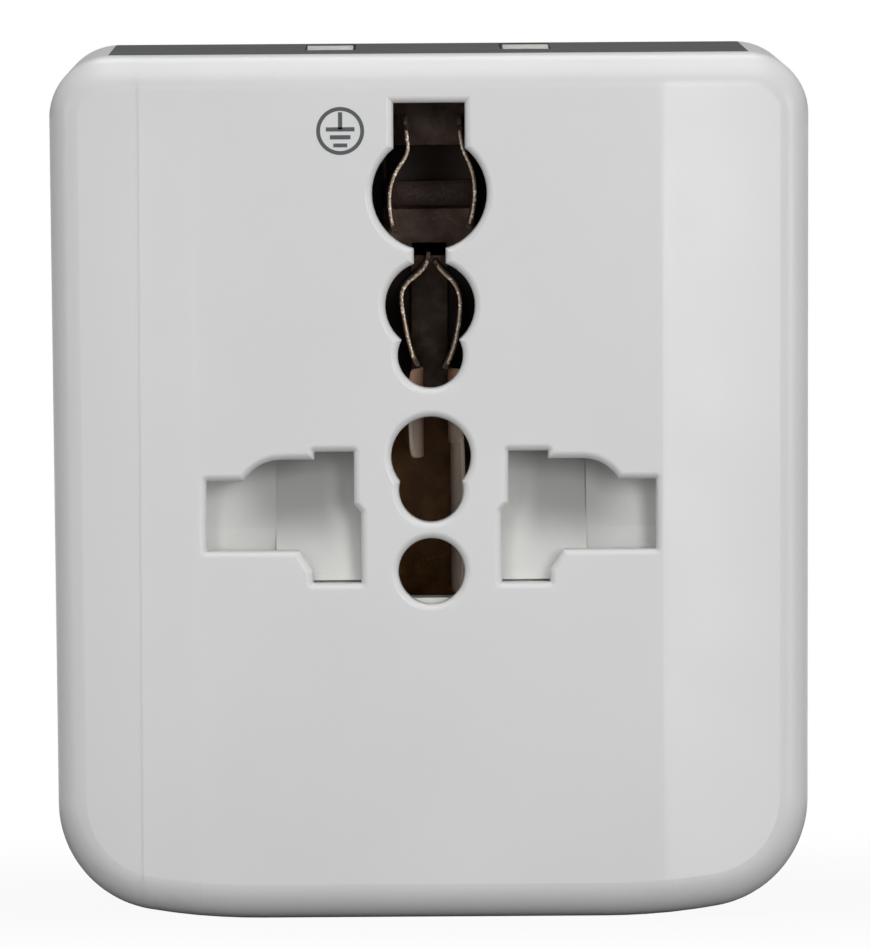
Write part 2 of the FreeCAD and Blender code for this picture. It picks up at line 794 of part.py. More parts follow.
def top_panel():
    play = S.seat_play
    span = (PANEL_FRONT + play, PANEL_REAR - play)
    above = S.body_height + 1
    blank = common(
        "top_panel_blank",
        prism("top_panel_outline", "XZ_Plane", body_outline(0), *span),
        block("top_panel_bounds", (play - S.top_panel_half, S.top_panel_half - play), span,
              (TOP_SEAT, above)))
    slots = [slot("knob_slot", x, S.knob_width, KNOB_FRONT, KNOB_REAR + travel, TOP_INNER, above)
             for x, travel in ((-S.knob_offset, US_TRAVEL), (S.knob_offset, EU_TRAVEL))]
    return node(cut("top_panel", blank, *slots), "top_panel")


def bottom_panel():
    play = S.seat_play
    plate = block("bottom_panel_plate", (play - S.bottom_panel_half, S.bottom_panel_half - play),
                  (PANEL_FRONT + play, PANEL_REAR - play), (S.foot_gap, S.panel_thick))
    return node(cut(
        "bottom_panel", plate,
        slot("uk_knob_slot", 0, S.knob_width, UK_KNOB_FRONT, UK_KNOB_REAR + UK_TRAVEL, -1, S.wall),
    ), "bottom_panel")


def knob(name, x, front, rear, head, stem):
    """A flat sliding knob with a stem; head and stem are bounds in height."""
    half = S.knob_width / 2
    neck = S.stem_width / 2
    stem_front = CARRIAGE_FRONT + 2 * S.running_play
    stem_rear = rear - S.free_play
    body = DOC.addObject("PartDesign::Body", name)
    plan = [(x - half, front), (x + half, front), (x + half, rear), (x - half, rear)]
    pad(body, "XY_Plane", plan, *head)
    neck_plan = [(x - neck, stem_front), (x + neck, stem_front),
                 (x + neck, stem_rear), (x - neck, stem_rear)]
    pad(body, "XY_Plane", neck_plan, *stem)
    return node(body, name)


def knobs():
    under_panel = TOP_SEAT + S.running_play
    head = (under_panel, S.body_height + S.knob_proud)
    knob("us_knob", -S.knob_offset, KNOB_FRONT, KNOB_REAR, head, (US_BLOCK[1], under_panel))
    knob("eu_knob", S.knob_offset, KNOB_FRONT, KNOB_REAR, head, (EU_TOP, under_panel))
    above_panel = S.panel_thick - S.running_play
    knob("uk_knob", as_size(0), UK_KNOB_FRONT, UK_KNOB_REAR, (S.foot_gap, above_panel),
         (above_panel, UK_BLOCK[0]))


# Socket: insert, contacts, rails and shutter

def insert_screw_places():
    return [(side * S.pillar_x, LINE + S.pillar_rise) for side in (-1, 1)]


def socket_insert():
    span = (INSERT_FRONT, INSERT_REAR)
    blank = block("insert_blank", (-S.insert_half, S.insert_half), span,
                  (INSERT_LOW, TOP_INNER - S.slide_play))
    tab_room = S.tab_half + S.slide_play
    tools = []
    for side in (-1, 1):
        tools.append(block("live_pocket", ordered(side * POCKET_IN, side * POCKET_OUT),
                           (INSERT_FRONT - 1, LIVE_FLOOR), (LINE - POCKET_HALF, LINE + POCKET_HALF)))
        tools.append(block("tab_slot", ordered(side * POCKET_IN, side * (S.insert_half + 1)),
                           (LIVE_FLOOR - 3 * S.sheet, LIVE_FLOOR), (LINE - tab_room, LINE + tab_room)))
    centre_half = POCKET_IN - S.divider
    deep = (INSERT_FRONT - 1, EARTH_FLOOR)
    tools.append(block("centre_pocket", (-centre_half, centre_half), deep,
                       (COLUMN_LOW - S.slide_play, COLUMN_TOP + S.slide_play)))
    wide = S.hole_earth_bore + S.free_play
    earth = LINE + S.hole_earth_height
    tools.append(block("earth_pocket", (-wide, wide), deep, (earth - wide, earth + wide)))
    play = S.slide_play
    tools.append(block("earth_rail_slot", (EARTH_RAIL[0] - play, EARTH_RAIL[1] + play),
                       (EARTH_FLOOR - 1, INSERT_REAR + 1), (EARTH_RAIL_Z[0] - play, EARTH_RAIL_Z[1] + play)))
    for x, z in insert_screw_places():
        tools.append(rod("insert_pilot", x, (INSERT_FRONT - 1, INSERT_REAR + 1), z, S.screw_radius + play))
        tools.append(rod("insert_counterbore", x, (INSERT_SCREW_SEAT, INSERT_REAR + 1), z,
                         S.screw_head_radius + play))
    return node(cut("socket_insert", blank, *tools), "socket_insert")


def ordered(first, second):
    return (first, second) if as_size(first).value < as_size(second).value else (second, first)


def leaf(name, plane, span, seat, pinch, tip, outward, rear):
    """A sprung strip of sheet that pinches a pin near its front end; outward is the side of its back."""
    thick = outward * S.sheet
    path = [(rear, seat), (INSERT_FRONT + S.leaf_root, seat), (INSERT_FRONT + S.leaf_pinch, pinch),
            (INSERT_FRONT + S.leaf_tip, tip)]
    back = [(along, across + thick) for along, across in path]
    outline = path + back[::-1]
    if plane == "XY_Plane":
        outline = [(across, along) for along, across in outline]
    return prism(name, plane, outline, *ordered(*span))


def live_contact(name, side):
    """Sheet contact of one live hole: two leaves for wide pins, one for flat blades, and a tab outwards."""
    rear = LIVE_FLOOR - S.running_play
    plate = (rear - S.sheet, rear)
    play = S.slide_play
    pieces = [
        block(name + "_plate", ordered(side * (POCKET_IN + play), side * (POCKET_OUT - play)), plate,
              (LINE - S.live_plate_half, LINE + S.live_plate_half)),
        block(name + "_tab", ordered(side * (POCKET_OUT - 2 * play), side * RAIL_X), plate,
              (LINE - S.tab_half, LINE + S.tab_half)),
    ]
    wide = (side * (S.slot_inner + play), side * (S.slot_outer - play))
    for up in (-1, 1):
        pieces.append(leaf(name + "_leaf", "YZ_Plane", wide, LINE + up * S.live_leaf_seat,
                           LINE + up * S.live_leaf_pinch, LINE + up * S.live_leaf_tip, up, rear))
    seat = side * (POCKET_IN + S.blade_leaf_seat)
    pinch = side * (POCKET_IN + S.blade_leaf_pinch)
    pieces.append(leaf(name + "_blade_leaf", "XY_Plane", (LINE - S.blade_leaf_half, LINE + S.blade_leaf_half),
                       seat, pinch, seat, -side, rear))
    return node(fuse(name, *pieces), name)


def earth_contact():
    """Three pairs of leaves on one spine behind the middle column of holes."""
    rear = EARTH_FLOOR - S.running_play
    plate = (rear - S.sheet, rear)
    half = POCKET_IN - S.divider - S.slide_play
    low = (LINE - S.low_leaf_bottom, LINE + S.low_leaf_top)
    middle = (LINE + S.middle_leaf_bottom, LINE + S.middle_leaf_top)
    high = (LINE + S.high_leaf_bottom, LINE + S.high_leaf_top)
    pieces = [
        block("earth_spine", (-S.earth_spine_half, S.earth_spine_half), plate, (low[0], LINE + S.bridge_top)),
        block("earth_foot", (-half, half), plate, low),
        block("earth_bridge", (-half, half), plate, (LINE + S.bridge_bottom, LINE + S.bridge_top)),
    ]
    for span in (low, middle, high):
        for side in (-1, 1):
            seat = side * (half - S.sheet)
            pieces.append(leaf("earth_leaf", "XY_Plane", span, seat, side * S.earth_leaf_pinch, seat, side,
                               rear))
    return node(fuse("earth_contact", *pieces), "earth_contact")


def rails():
    end = REAR_INNER - S.running_play
    for name, side in (("neutral_rail", -1), ("live_rail", 1)):
        node(block(name, ordered(side * RAIL_X, side * S.guide_x), (LIVE_FLOOR - 3 * S.sheet, end),
                   (LINE - S.rail_half, LINE + S.rail_half)), name)
    node(block("earth_rail", EARTH_RAIL, (EARTH_FLOOR, end), EARTH_RAIL_Z), "earth_rail")


def shutter():
    """The sprung gate behind the live holes: sloping faces that a plug's pins push down.

    A groove at the foot of each ramp keeps the moulding's flash clear of the front shell."""
    front = FRONT_INNER + S.slide_play
    rear = INSERT_FRONT - S.free_play
    top = LINE + S.column_top + S.shutter_lap
    outer = S.slot_outer + S.shutter_lap
    pieces = [block("shutter_bar", (-outer, outer), (front, rear), (BAR_BOTTOM, BAR_TOP))]
    deep = rear - S.ramp_back
    step_z = LINE - S.ramp_step_drop
    foot_z = LINE - S.ramp_foot
    step_y = deep + (front - deep) * (top - step_z) / (top - foot_z)
    wing_y = step_y + (deep - step_y) * S.wing_slope_share
    groove_y = front + S.ramp_groove_deep
    groove_z = foot_z - S.ramp_groove_tall
    base = [(front, BAR_BOTTOM), (rear, BAR_BOTTOM), (rear, top)]
    ramp = base + [(deep, top), (front, foot_z), (groove_y, foot_z), (groove_y, groove_z), (front, groove_z)]
    wing = base + [(wing_y, top), (step_y, step_z), (step_y, LINE - S.column_bottom), (front, BAR_TOP)]
    for side in (-1, 1):
        middle = side * S.ramp_step_x
        pieces.append(prism("shutter_ramp", "YZ_Plane", ramp, *ordered(side * POCKET_IN, middle)))
        pieces.append(prism("shutter_wing", "YZ_Plane", wing, *ordered(middle, side * outer)))
    return node(fuse("shutter", *pieces), "shutter")


def coil(name, x, y, low, high):
    """A wire spring standing upright between two heights."""
    radius = S.spring_coil.value
    wire = S.spring_wire.value / 2
    turns = S.spring_turns.value
    rise = high.value - low.value - 2 * wire
    path = Part.makeHelix(rise / turns, rise, radius)
    start = path.Edges[0].valueAt(path.Edges[0].FirstParameter)
    heading = path.Edges[0].tangentAt(path.Edges[0].FirstParameter)
    section = Part.Wire(Part.makeCircle(wire, start, heading))
    spring = DOC.addObject("Part::Feature", name)
    spring.Shape = Part.Wire(path.Edges).makePipeShell([section], True, True)
    foot = Vector(as_size(x).value, y.value, low.value + wire)
    spring.Placement = FreeCAD.Placement(foot, FreeCAD.Rotation())
    return spring


def shutter_springs():
    """The two coils that lift the shutter, standing on the front shell's spring seats."""
    low = SPRING_SEAT_TOP + S.seat_play
    high = BAR_BOTTOM - S.seat_play
    y = (FRONT_INNER + INSERT_FRONT) / 2
    coils = [coil("shutter_spring", side * S.spring_x, y, low, high) for side in (-1, 1)]
    return node(group("shutter_springs", *coils), "shutter_springs")


# Guides and carriages

def guides():
    """Plates that carry the rails, with shelves that the carriages slide on."""
    span = (INSERT_REAR + S.insert_gap / 2, REAR_INNER - S.running_play)
    plate_z = (S.guide_low, US_BLOCK[0] + S.guide_lap)
    shelf_top = EU_LOW - S.free_play
    shelf_z = (shelf_top - S.shelf_thick, shelf_top)
    upper_z = (EU_BAR[1] + S.free_play, US_BLOCK[0] - S.free_play)
    inner = EARTH_RAIL[1] + S.free_play
    edge = S.guide_x
    back = S.guide_x + S.guide_thick
    node(fuse("right_guide",
              block("right_plate", (edge, back), span, plate_z),
              block("right_shelf", (inner, edge), span, shelf_z)), "right_guide")
    node(fuse("left_guide",
              block("left_plate", (-back, -edge), span, plate_z),
              block("left_shelf", (-edge, -inner), span, shelf_z),
              block("upper_shelf", (-edge, EU_POST[0] - S.free_play), span, upper_z)), "left_guide")


def us_plug():
    """Flat blades in drums, which turn between a carriage and its cover."""
    cover_front = CARRIAGE_REAR - S.cover_thick
    half = US_X + S.drum_radius + S.us_block_side
    floor = CARRIAGE_FRONT + S.carriage_floor
    blank = block("us_blank", (-half, half), (CARRIAGE_FRONT, cover_front), US_BLOCK)
    seats = [rod("us_seat", side * US_X, (floor, CARRIAGE_REAR), US_LINE, S.drum_radius + S.running_play)
             for side in (-1, 1)]
    node(cut("us_carriage", blank, *seats), "us_carriage")
    cover = block("us_cover_blank", (-half, half), (cover_front, CARRIAGE_REAR), US_BLOCK)
    windows = [rod("us_window", side * US_X, (CARRIAGE_FRONT, CARRIAGE_REAR + 1), US_LINE,
                   blade_sweep() + S.slide_play) for side in (-1, 1)]
    node(cut("us_cover", cover, *windows), "us_cover")
    start = floor + S.drum_floor
    half_wide = S.us_blade_wide / 2
    half_thick = S.us_blade_thick / 2
    profile = bevelled(US_LINE, half_wide, start, TIP_REST, S.us_blade_thick * 0.8)
    for name, side in (("left", -1), ("right", 1)):
        x = side * US_X
        blade = prism(f"us_{name}_blade", "YZ_Plane", profile, x - half_thick, x + half_thick)
        drum = rod(f"us_{name}_drum_blank", x, (floor + S.running_play, cover_front - S.running_play),
                   US_LINE, S.drum_radius)
        seat = square_hole(f"us_{name}_blade_seat", x, US_LINE, S.us_blade_thick, S.us_blade_wide,
                           (start - S.seat_play, CARRIAGE_REAR), S.seat_play)
        node(cut(f"us_{name}_drum", drum, seat), f"us_{name}_drum")
        node(blade, f"us_{name}_blade")


def bevelled(z, half, start, tip, nose):
    """Side view of a pin with a bevelled nose, as corners along the body and upwards."""
    low = z - half
    high = z + half
    back = tip - nose
    return [(start, low), (back, low), (tip, low + nose), (tip, high - nose), (back, high), (start, high)]


def ball(name, x, y, z, radius):
    sphere = DOC.addObject("Part::Sphere", name)
    for letter, place in zip("xyz", (x, y, z)):
        bind(sphere, "Placement.Base." + letter, place)
    bind(sphere, "Radius", radius)
    return sphere


def eu_plug():
    span = (CARRIAGE_FRONT, CARRIAGE_REAR)
    block_out = EU_X + S.eu_block_half
    block_in = EU_X - S.eu_block_half
    post_in, post_out = EU_POST
    low, high = EU_BAR
    finger = S.knob_offset - S.knob_width / 2
    under = EU_TOP - S.eu_finger_tall
    outline = [
        (-block_out, EU_LOW), (-block_in, EU_LOW), (-block_in, low), (block_in, low), (block_in, EU_LOW),
        (block_out, EU_LOW), (block_out, low), (post_out, low), (post_out, EU_TOP), (finger, EU_TOP),
        (finger, under), (post_in, under), (post_in, high), (-block_out, high),
    ]
    start = CARRIAGE_FRONT + S.carriage_floor
    bore = S.eu_core_radius + S.seat_play
    seats = [rod("eu_seat", side * EU_X, (start, CARRIAGE_REAR + 1), S.eu_line, bore) for side in (-1, 1)]
    node(cut("eu_carriage", prism("eu_blank", "XZ_Plane", outline, *span), *seats), "eu_carriage")
    sleeve_end = REAR + S.eu_sleeve - EU_TRAVEL
    pins = []
    sleeves = []
    for side in (-1, 1):
        x = side * EU_X
        nose = TIP_REST - S.eu_pin_radius
        core = (start + S.seat_play, sleeve_end + 1)
        pins.append(fuse("eu_pin",
                         rod("eu_core", x, core, S.eu_line, S.eu_core_radius),
                         rod("eu_tip", x, (sleeve_end, nose), S.eu_line, S.eu_pin_radius),
                         ball("eu_nose", x, nose, S.eu_line, S.eu_pin_radius)))
        tube = (CARRIAGE_REAR + S.seat_play, sleeve_end - S.seat_play)
        sleeves.append(cut("eu_sleeve",
                           rod("eu_sleeve_outside", x, tube, S.eu_line, S.eu_pin_radius - S.seat_play),
                           rod("eu_sleeve_bore", x, (CARRIAGE_REAR - 1, sleeve_end + 1), S.eu_line, bore)))
    node(group("eu_pins", *pins), "eu_pins")
    node(group("eu_sleeves", *sleeves), "eu_sleeves")


def square_pin(name, x, z, wide, tall, start, tip):
    """A flat-sided pin with a bevelled nose."""
    return prism(name, "YZ_Plane", bevelled(z, tall / 2, start, tip, wide * 0.2), x - wide / 2, x + wide / 2)


def uk_plug():
    span = (CARRIAGE_FRONT, CARRIAGE_REAR)
    half = UK_X + S.uk_pin_wide / 2 + S.uk_block_side
    low, high = UK_BLOCK
    post = EARTH_RAIL[0] - S.free_play
    post_top = UK_EARTH_Z + S.uk_earth_tall / 2 + S.free_play
    outline = [(-half, low), (half, low), (half, high), (post, high), (post, post_top), (-post, post_top),
               (-post, high), (-half, high)]
    start = CARRIAGE_FRONT + S.carriage_floor
    skin = 2 * S.sheet
    core_wide = S.uk_pin_wide - skin
    core_tall = S.uk_pin_tall - skin
    deep = (start, CARRIAGE_REAR + 1)
    seats = [square_hole("uk_seat", side * UK_X, S.uk_line, core_wide, core_tall, deep, S.seat_play)
             for side in (-1, 1)]
    seats.append(square_hole("uk_earth_seat", as_size(0), UK_EARTH_Z, S.uk_pin_tall, S.uk_earth_tall, deep,
                             S.seat_play))
    node(cut("uk_carriage", prism("uk_blank", "XZ_Plane", outline, *span), *seats), "uk_carriage")
    tip = REAR + UK_PIN_REACH - UK_TRAVEL
    sleeve_end = REAR + S.uk_sleeve - UK_TRAVEL
    pins = []
    sleeves = []
    for side in (-1, 1):
        x = side * UK_X
        core = square_hole("uk_core", x, S.uk_line, core_wide, core_tall,
                           (start + S.seat_play, sleeve_end + 1), 0)
        pins.append(fuse("uk_pin", core,
                         square_pin("uk_tip", x, S.uk_line, S.uk_pin_wide, S.uk_pin_tall, sleeve_end, tip)))
        tube = (CARRIAGE_REAR + S.seat_play, sleeve_end - S.seat_play)
        sleeves.append(cut("uk_sleeve",
                           square_hole("uk_sleeve_outside", x, S.uk_line, S.uk_pin_wide, S.uk_pin_tall,
                                       tube, 0),
                           square_hole("uk_sleeve_bore", x, S.uk_line, core_wide, core_tall,
                                       (CARRIAGE_REAR - 1, sleeve_end + 1), S.seat_play)))
    node(group("uk_pins", *pins), "uk_pins")
    node(group("uk_sleeves", *sleeves), "uk_sleeves")
    node(square_pin("uk_earth_pin", as_size(0), UK_EARTH_Z, S.uk_pin_tall, S.uk_earth_tall,
                    start + S.seat_play, REAR + UK_EARTH_REACH - UK_TRAVEL), "uk_earth_pin")


def screw(name, x, z, seat, tip):
    """A cross-head screw whose head sits on its seat and whose point lies in front."""
    rear = seat + S.screw_head_thick
    cross = S.screw_head_radius * 0.6
    blade = S.screw_head_radius * 0.13
    deep = (rear - S.screw_head_thick * 0.6, rear + 1)
    blank = fuse(name + "_blank",
                 rod(name + "_head", x, (seat + S.seat_play, rear), z, S.screw_head_radius),
                 rod(name + "_shank", x, (tip, seat + 1), z, S.screw_radius))
    return cut(name, blank,
               block(name + "_cross", (x - cross, x + cross), deep, (z - blade, z + blade)),
               block(name + "_cross", (x - blade, x + blade), deep, (z - cross, z + cross)))


def screws():
    case = [screw("case_screw", x, z, SCREW_SEAT, SEAM - S.case_screw_grip) for x, z in SCREWS]
    node(group("case_screws", *case), "case_screws")
    tip = FRONT_INNER + S.insert_screw_inset
    inner = [screw("insert_screw", x, z, INSERT_SCREW_SEAT, tip) for x, z in insert_screw_places()]
    node(group("insert_screws", *inner), "insert_screws")


def save_nodes():
    """Check the document and every node, then write each node to its own file."""
    DOC.recompute()
    for thing in DOC.Objects:
        if "Invalid" in thing.State or "Error" in thing.State:
            raise RuntimeError(f"{thing.Name} could not be built: {thing.getStatusString()}")
    for piece in NODES:
        if piece.Shape.isNull() or not piece.Shape.isValid():
            raise RuntimeError(f"{piece.Label} has no valid shape")
    os.makedirs("parts", exist_ok=True)
    for piece in NODES:
        piece.Shape.exportStep(f"parts/{piece.Label}.step")
        print(piece.Label, len(piece.Shape.Solids), round(piece.Shape.Volume, 1))


def build():
    cuts = wall_cuts()
    front_shell(cuts)
    rear_shell(cuts)
    top_panel()
    bottom_panel()
    knobs()
    socket_insert()
    live_contact("neutral_contact", -1)
    live_contact("live_contact", 1)
    earth_contact()
    rails()
    shutter()
    shutter_springs()
    guides()
    us_plug()
    eu_plug()
    uk_plug()
    screws()
    save_nodes()


build()
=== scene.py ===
# %% [markdown]
# # A travel adapter, dressed in Blender
#
# The object is a pocket travel adapter: a white body about five and a half centimetres high, a universal
# socket in front, and three sets of plug pins that slide out of the rear. Its solids come from a CAD model,
# so sizes and places are settled. This lesson gives them finishes, models the few pieces that deserve more
# detail than a solid has, and sets up a small studio.

# %% Load the frame
import math

import bmesh
import bpy
from mathutils import Matrix, Vector


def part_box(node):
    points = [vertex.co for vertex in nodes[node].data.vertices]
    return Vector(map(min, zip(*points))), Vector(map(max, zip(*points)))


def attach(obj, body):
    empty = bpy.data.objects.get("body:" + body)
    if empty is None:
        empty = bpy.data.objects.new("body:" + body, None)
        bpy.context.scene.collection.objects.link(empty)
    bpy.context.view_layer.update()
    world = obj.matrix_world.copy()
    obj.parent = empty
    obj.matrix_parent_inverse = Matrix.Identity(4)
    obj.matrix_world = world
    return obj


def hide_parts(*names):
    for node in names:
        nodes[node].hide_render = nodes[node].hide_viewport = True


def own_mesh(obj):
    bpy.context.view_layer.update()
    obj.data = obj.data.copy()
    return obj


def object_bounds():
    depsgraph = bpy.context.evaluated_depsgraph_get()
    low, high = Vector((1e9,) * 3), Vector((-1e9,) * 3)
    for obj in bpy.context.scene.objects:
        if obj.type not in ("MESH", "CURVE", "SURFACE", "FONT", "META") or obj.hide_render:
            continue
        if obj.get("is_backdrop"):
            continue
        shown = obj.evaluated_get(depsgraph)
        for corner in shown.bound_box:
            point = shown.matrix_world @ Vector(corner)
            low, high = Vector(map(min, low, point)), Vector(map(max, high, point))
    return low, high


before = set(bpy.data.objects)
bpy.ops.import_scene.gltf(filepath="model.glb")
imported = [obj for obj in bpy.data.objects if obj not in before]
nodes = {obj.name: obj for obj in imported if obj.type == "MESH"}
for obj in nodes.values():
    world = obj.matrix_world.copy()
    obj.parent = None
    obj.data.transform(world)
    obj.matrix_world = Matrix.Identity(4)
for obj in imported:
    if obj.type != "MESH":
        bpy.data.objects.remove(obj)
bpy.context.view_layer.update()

MM = 0.001

# %% [markdown]
# ## The camera
#
# The photograph shows hardly any perspective, as a picture taken from far away through a very long lens. The
# camera stands a metre and a half in front and five centimetres above the middle, turned down by two degrees
# and rolled by less than half a degree. It is built from its three directions. That is surer than aiming it
# at a point, because the small roll shows on the long straight edges.

# %% Place the camera
CAMERA_PLACE = Vector((-2.87, -1527.0, 76.55)) * MM
FACE_MIDDLE = Vector((0, -27.0, 28.0)) * MM
LENS_MM, SENSOR_MM = 888.0, 36
NEAREST, FARTHEST = 0.1, 20
YAW, PITCH, ROLL = (math.radians(angle) for angle in (0.119, 1.833, -0.363))
ahead = Vector((math.sin(YAW) * math.cos(PITCH), math.cos(YAW) * math.cos(PITCH), -math.sin(PITCH)))
level = Vector((math.cos(YAW), -math.sin(YAW), 0))
upward = level.cross(ahead)
right = level * math.cos(ROLL) + upward * math.sin(ROLL)
over = upward * math.cos(ROLL) - level * math.sin(ROLL)
camera = bpy.data.objects.new("camera", bpy.data.cameras.new("camera"))
camera.data.sensor_width = SENSOR_MM
camera.data.lens = LENS_MM
camera.data.clip_start = NEAREST
camera.data.clip_end = FARTHEST
camera.matrix_world = Matrix.Translation(CAMERA_PLACE) @ Matrix((right, over, -ahead)).transposed().to_4x4()
bpy.context.scene.collection.objects.link(camera)
bpy.context.scene.camera = camera
print("camera stands", round((CAMERA_PLACE - FACE_MIDDLE).length, 3), "m away")

# %% [markdown]
# ## Shader maths as Python
#
# Each finish is a small graph of nodes. Wiring Math nodes by hand hides the formula, so a small class wraps a
# socket and lets Python's operators add the nodes. A finish object makes any other node, sets its settings
# and joins its sockets.

# %% A socket that takes part in sums
class Wire:
    def __init__(self, finish, socket):
        self.finish = finish
        self.socket = socket

    def math(self, operation, *others):
        return self.finish.add("ShaderNodeMath", {"operation": operation}, [self, *others])

    def __add__(self, other):
        return self.math("ADD", other)

    def __mul__(self, other):
        return self.math("MULTIPLY", other)

    def __sub__(self, other):
        return self.math("SUBTRACT", other)

    def __rsub__(self, other):
        return self.finish.add("ShaderNodeMath", {"operation": "SUBTRACT"}, [other, self])

    def __abs__(self):
        return self.math("ABSOLUTE")

    def ramp(self, low, high, start=0.0, end=1.0):
        """Goes smoothly from start to end while the value goes from low to high."""
        settings = {"interpolation_type": "SMOOTHSTEP"}
        return self.finish.add("ShaderNodeMapRange", settings, [self, low, high, start, end])


# %% A finish: one material and its nodes
class Finish:
    def __init__(self, name, **constants):
        self.material = bpy.data.materials.new(name)
        self.material.use_nodes = True
        self.tree = self.material.node_tree
        self.shader = self.tree.nodes["Principled BSDF"]
        for socket, value in constants.items():
            self.shader.inputs[socket.replace("_", " ")].default_value = value
        self.place = self.add("ShaderNodeTexCoord", {}, [], "Object")

    def add(self, kind, settings, values, output=0):
        node = self.tree.nodes.new(kind)
        for setting, value in settings.items():
            setattr(node, setting, value)
        named = values.items() if isinstance(values, dict) else enumerate(values)
        for socket, value in named:
            self.join(node.inputs[socket], value)
        return Wire(self, node.outputs[output])

    def join(self, socket, value):
        if isinstance(value, Wire):
            self.tree.links.new(value.socket, socket)
        elif value is not None:
            socket.default_value = value

    def axis(self, letter):
        return self.add("ShaderNodeSeparateXYZ", {}, [self.place], letter)

    def noise(self, scale, detail, stretch=(1, 1, 1)):
        """Noise whose grains are 1 / scale metres wide, stretched along an axis by a small factor there."""
        stretched = self.add("ShaderNodeMapping", {}, {"Vector": self.place, "Scale": stretch})
        values = {"Vector": stretched, "Scale": scale, "Detail": detail}
        return self.add("ShaderNodeTexNoise", {}, values)

    def blend(self, factor, first, second):
        settings = {"data_type": "RGBA", "blend_type": "MIX"}
        values = {0: factor, 6: first, 7: second}
        return self.add("ShaderNodeMix", settings, values, 2)

    def bump(self, height, distance, strength):
        values = {"Strength": strength, "Distance": distance, "Height": height}
        self.join(self.shader.inputs["Normal"], self.add("ShaderNodeBump", {}, values))

    def paint(self, color=None, roughness=None, metallic=None):
        self.join(self.shader.inputs["Base Color"], color)
        self.join(self.shader.inputs["Roughness"], roughness)
        self.join(self.shader.inputs["Metallic"], metallic)


def rgb(red, green, blue):
    """A colour as a screen shows it, from 0 to 255, turned into the light that a shader counts in."""
    def linear(value):
        value /= 255
        return value / 12.92 if value <= 0.04045 else ((value + 0.055) / 1.055) ** 2.4

    return (linear(red), linear(green), linear(blue), 1.0)


def wear(pieces, finish):
    """Give pieces a finish in place of the plain material that they came with."""
    for piece in pieces:
        if not piece.material_slots:
            piece.data.materials.append(finish.material)
        for material_slot in piece.material_slots:
            material_slot.material = finish.material
    print(finish.material.name, "on", ", ".join(piece.name for piece in pieces))


# %% [markdown]
# ## White shell
#
# The two halves of the body are moulded in glossy white plastic. Such plastic isn't one flat white: the
# mould's polish varies, handling leaves faint rubbed patches, and a thin dark line shows where the halves
# meet. The line is drawn by distance from the seam, so that it runs round the body whatever its shape. Noise
# seldom leaves the middle of its range, so a colour or a gloss goes from one end to the other between two
# values near the middle.

# %% Finish of the shells
SPREAD = (0.3, 0.7)
SEAM = -5.0 * MM
SEAM_CORE, SEAM_FADE = 0.03 * MM, 0.12 * MM
shell_white = Finish("shell_white", Specular_IOR_Level=0.5)
off_seam = abs(shell_white.axis("Y") - SEAM)
seam_line = 1.0 - off_seam.ramp(SEAM_CORE, SEAM_FADE)
cloud = shell_white.noise(60, 2.0)
rubbed = shell_white.noise(160, 3.0)
grain = shell_white.noise(9000, 2.0)
clean = shell_white.blend(cloud.ramp(*SPREAD), rgb(214, 214, 214), rgb(217, 217, 217))
shell_white.paint(
    color=shell_white.blend(seam_line * 0.75, clean, rgb(140, 138, 134)),
    roughness=rubbed.ramp(0.3, 0.75, 0.27, 0.31) + grain * 0.03)
shell_white.bump(grain * 0.02 - seam_line * 2.0, 0.05 * MM, 0.2)
wear([nodes["front_shell"], nodes["rear_shell"]], shell_white)

# %% [markdown]
# ## Grey panels
#
# The panels in the top and the bottom are dark grey and satin: their mould was etched, which leaves a fine
# even grain that breaks the gloss.

# %% Finish of the panels
panel_grey = Finish("panel_grey", Specular_IOR_Level=0.3)
etched = panel_grey.noise(14000, 2.0)
patch = panel_grey.noise(120, 2.0)
panel_grey.paint(
    color=panel_grey.blend(patch.ramp(*SPREAD), rgb(60, 64, 67), rgb(66, 70, 73)),
    roughness=patch.ramp(*SPREAD, 0.42, 0.5))
panel_grey.bump(etched, 0.02 * MM, 0.5)
wear([nodes["top_panel"], nodes["bottom_panel"]], panel_grey)

# %% [markdown]
# ## The plain inside plastics
#
# The shutter is satin white. The insert, the carriages and the sleeves are dark, heat-resistant plastics,
# with a duller skin than the shell. They differ only in their two colours and their gloss, so one function
# makes them all.

# %% Finishes of the inside plastics
def plastic(name, dark, light, low, high):
    """A moulded plastic between two near colours, with a roughness between two values."""
    made = Finish(name, Specular_IOR_Level=0.45)
    drift = made.noise(260, 3.0)
    fine = made.noise(11000, 2.0)
    made.paint(
        color=made.blend(drift.ramp(*SPREAD), dark, light),
        roughness=drift.ramp(*SPREAD, low, high))
    made.bump(fine, 0.02 * MM, 0.4)
    return made


shutter_white = plastic("shutter_white", rgb(229, 230, 226), rgb(236, 237, 233), 0.38, 0.5)
insert_brown = plastic("insert_brown", rgb(72, 54, 43), rgb(90, 68, 54), 0.5, 0.62)
carriage_black = plastic("carriage_black", rgb(40, 40, 43), rgb(50, 50, 53), 0.4, 0.52)
sleeve_black = plastic("sleeve_black", rgb(27, 27, 29), rgb(36, 36, 38), 0.35, 0.45)
CARRIAGES = ("us_carriage", "us_cover", "us_left_drum", "us_right_drum", "eu_carriage", "uk_carriage")
wear([nodes["shutter"]], shutter_white)
wear([nodes[name] for name in ("socket_insert", "left_guide", "right_guide")], insert_brown)
wear([nodes[name] for name in CARRIAGES], carriage_black)
wear([nodes[name] for name in ("eu_sleeves", "uk_sleeves")], sleeve_black)
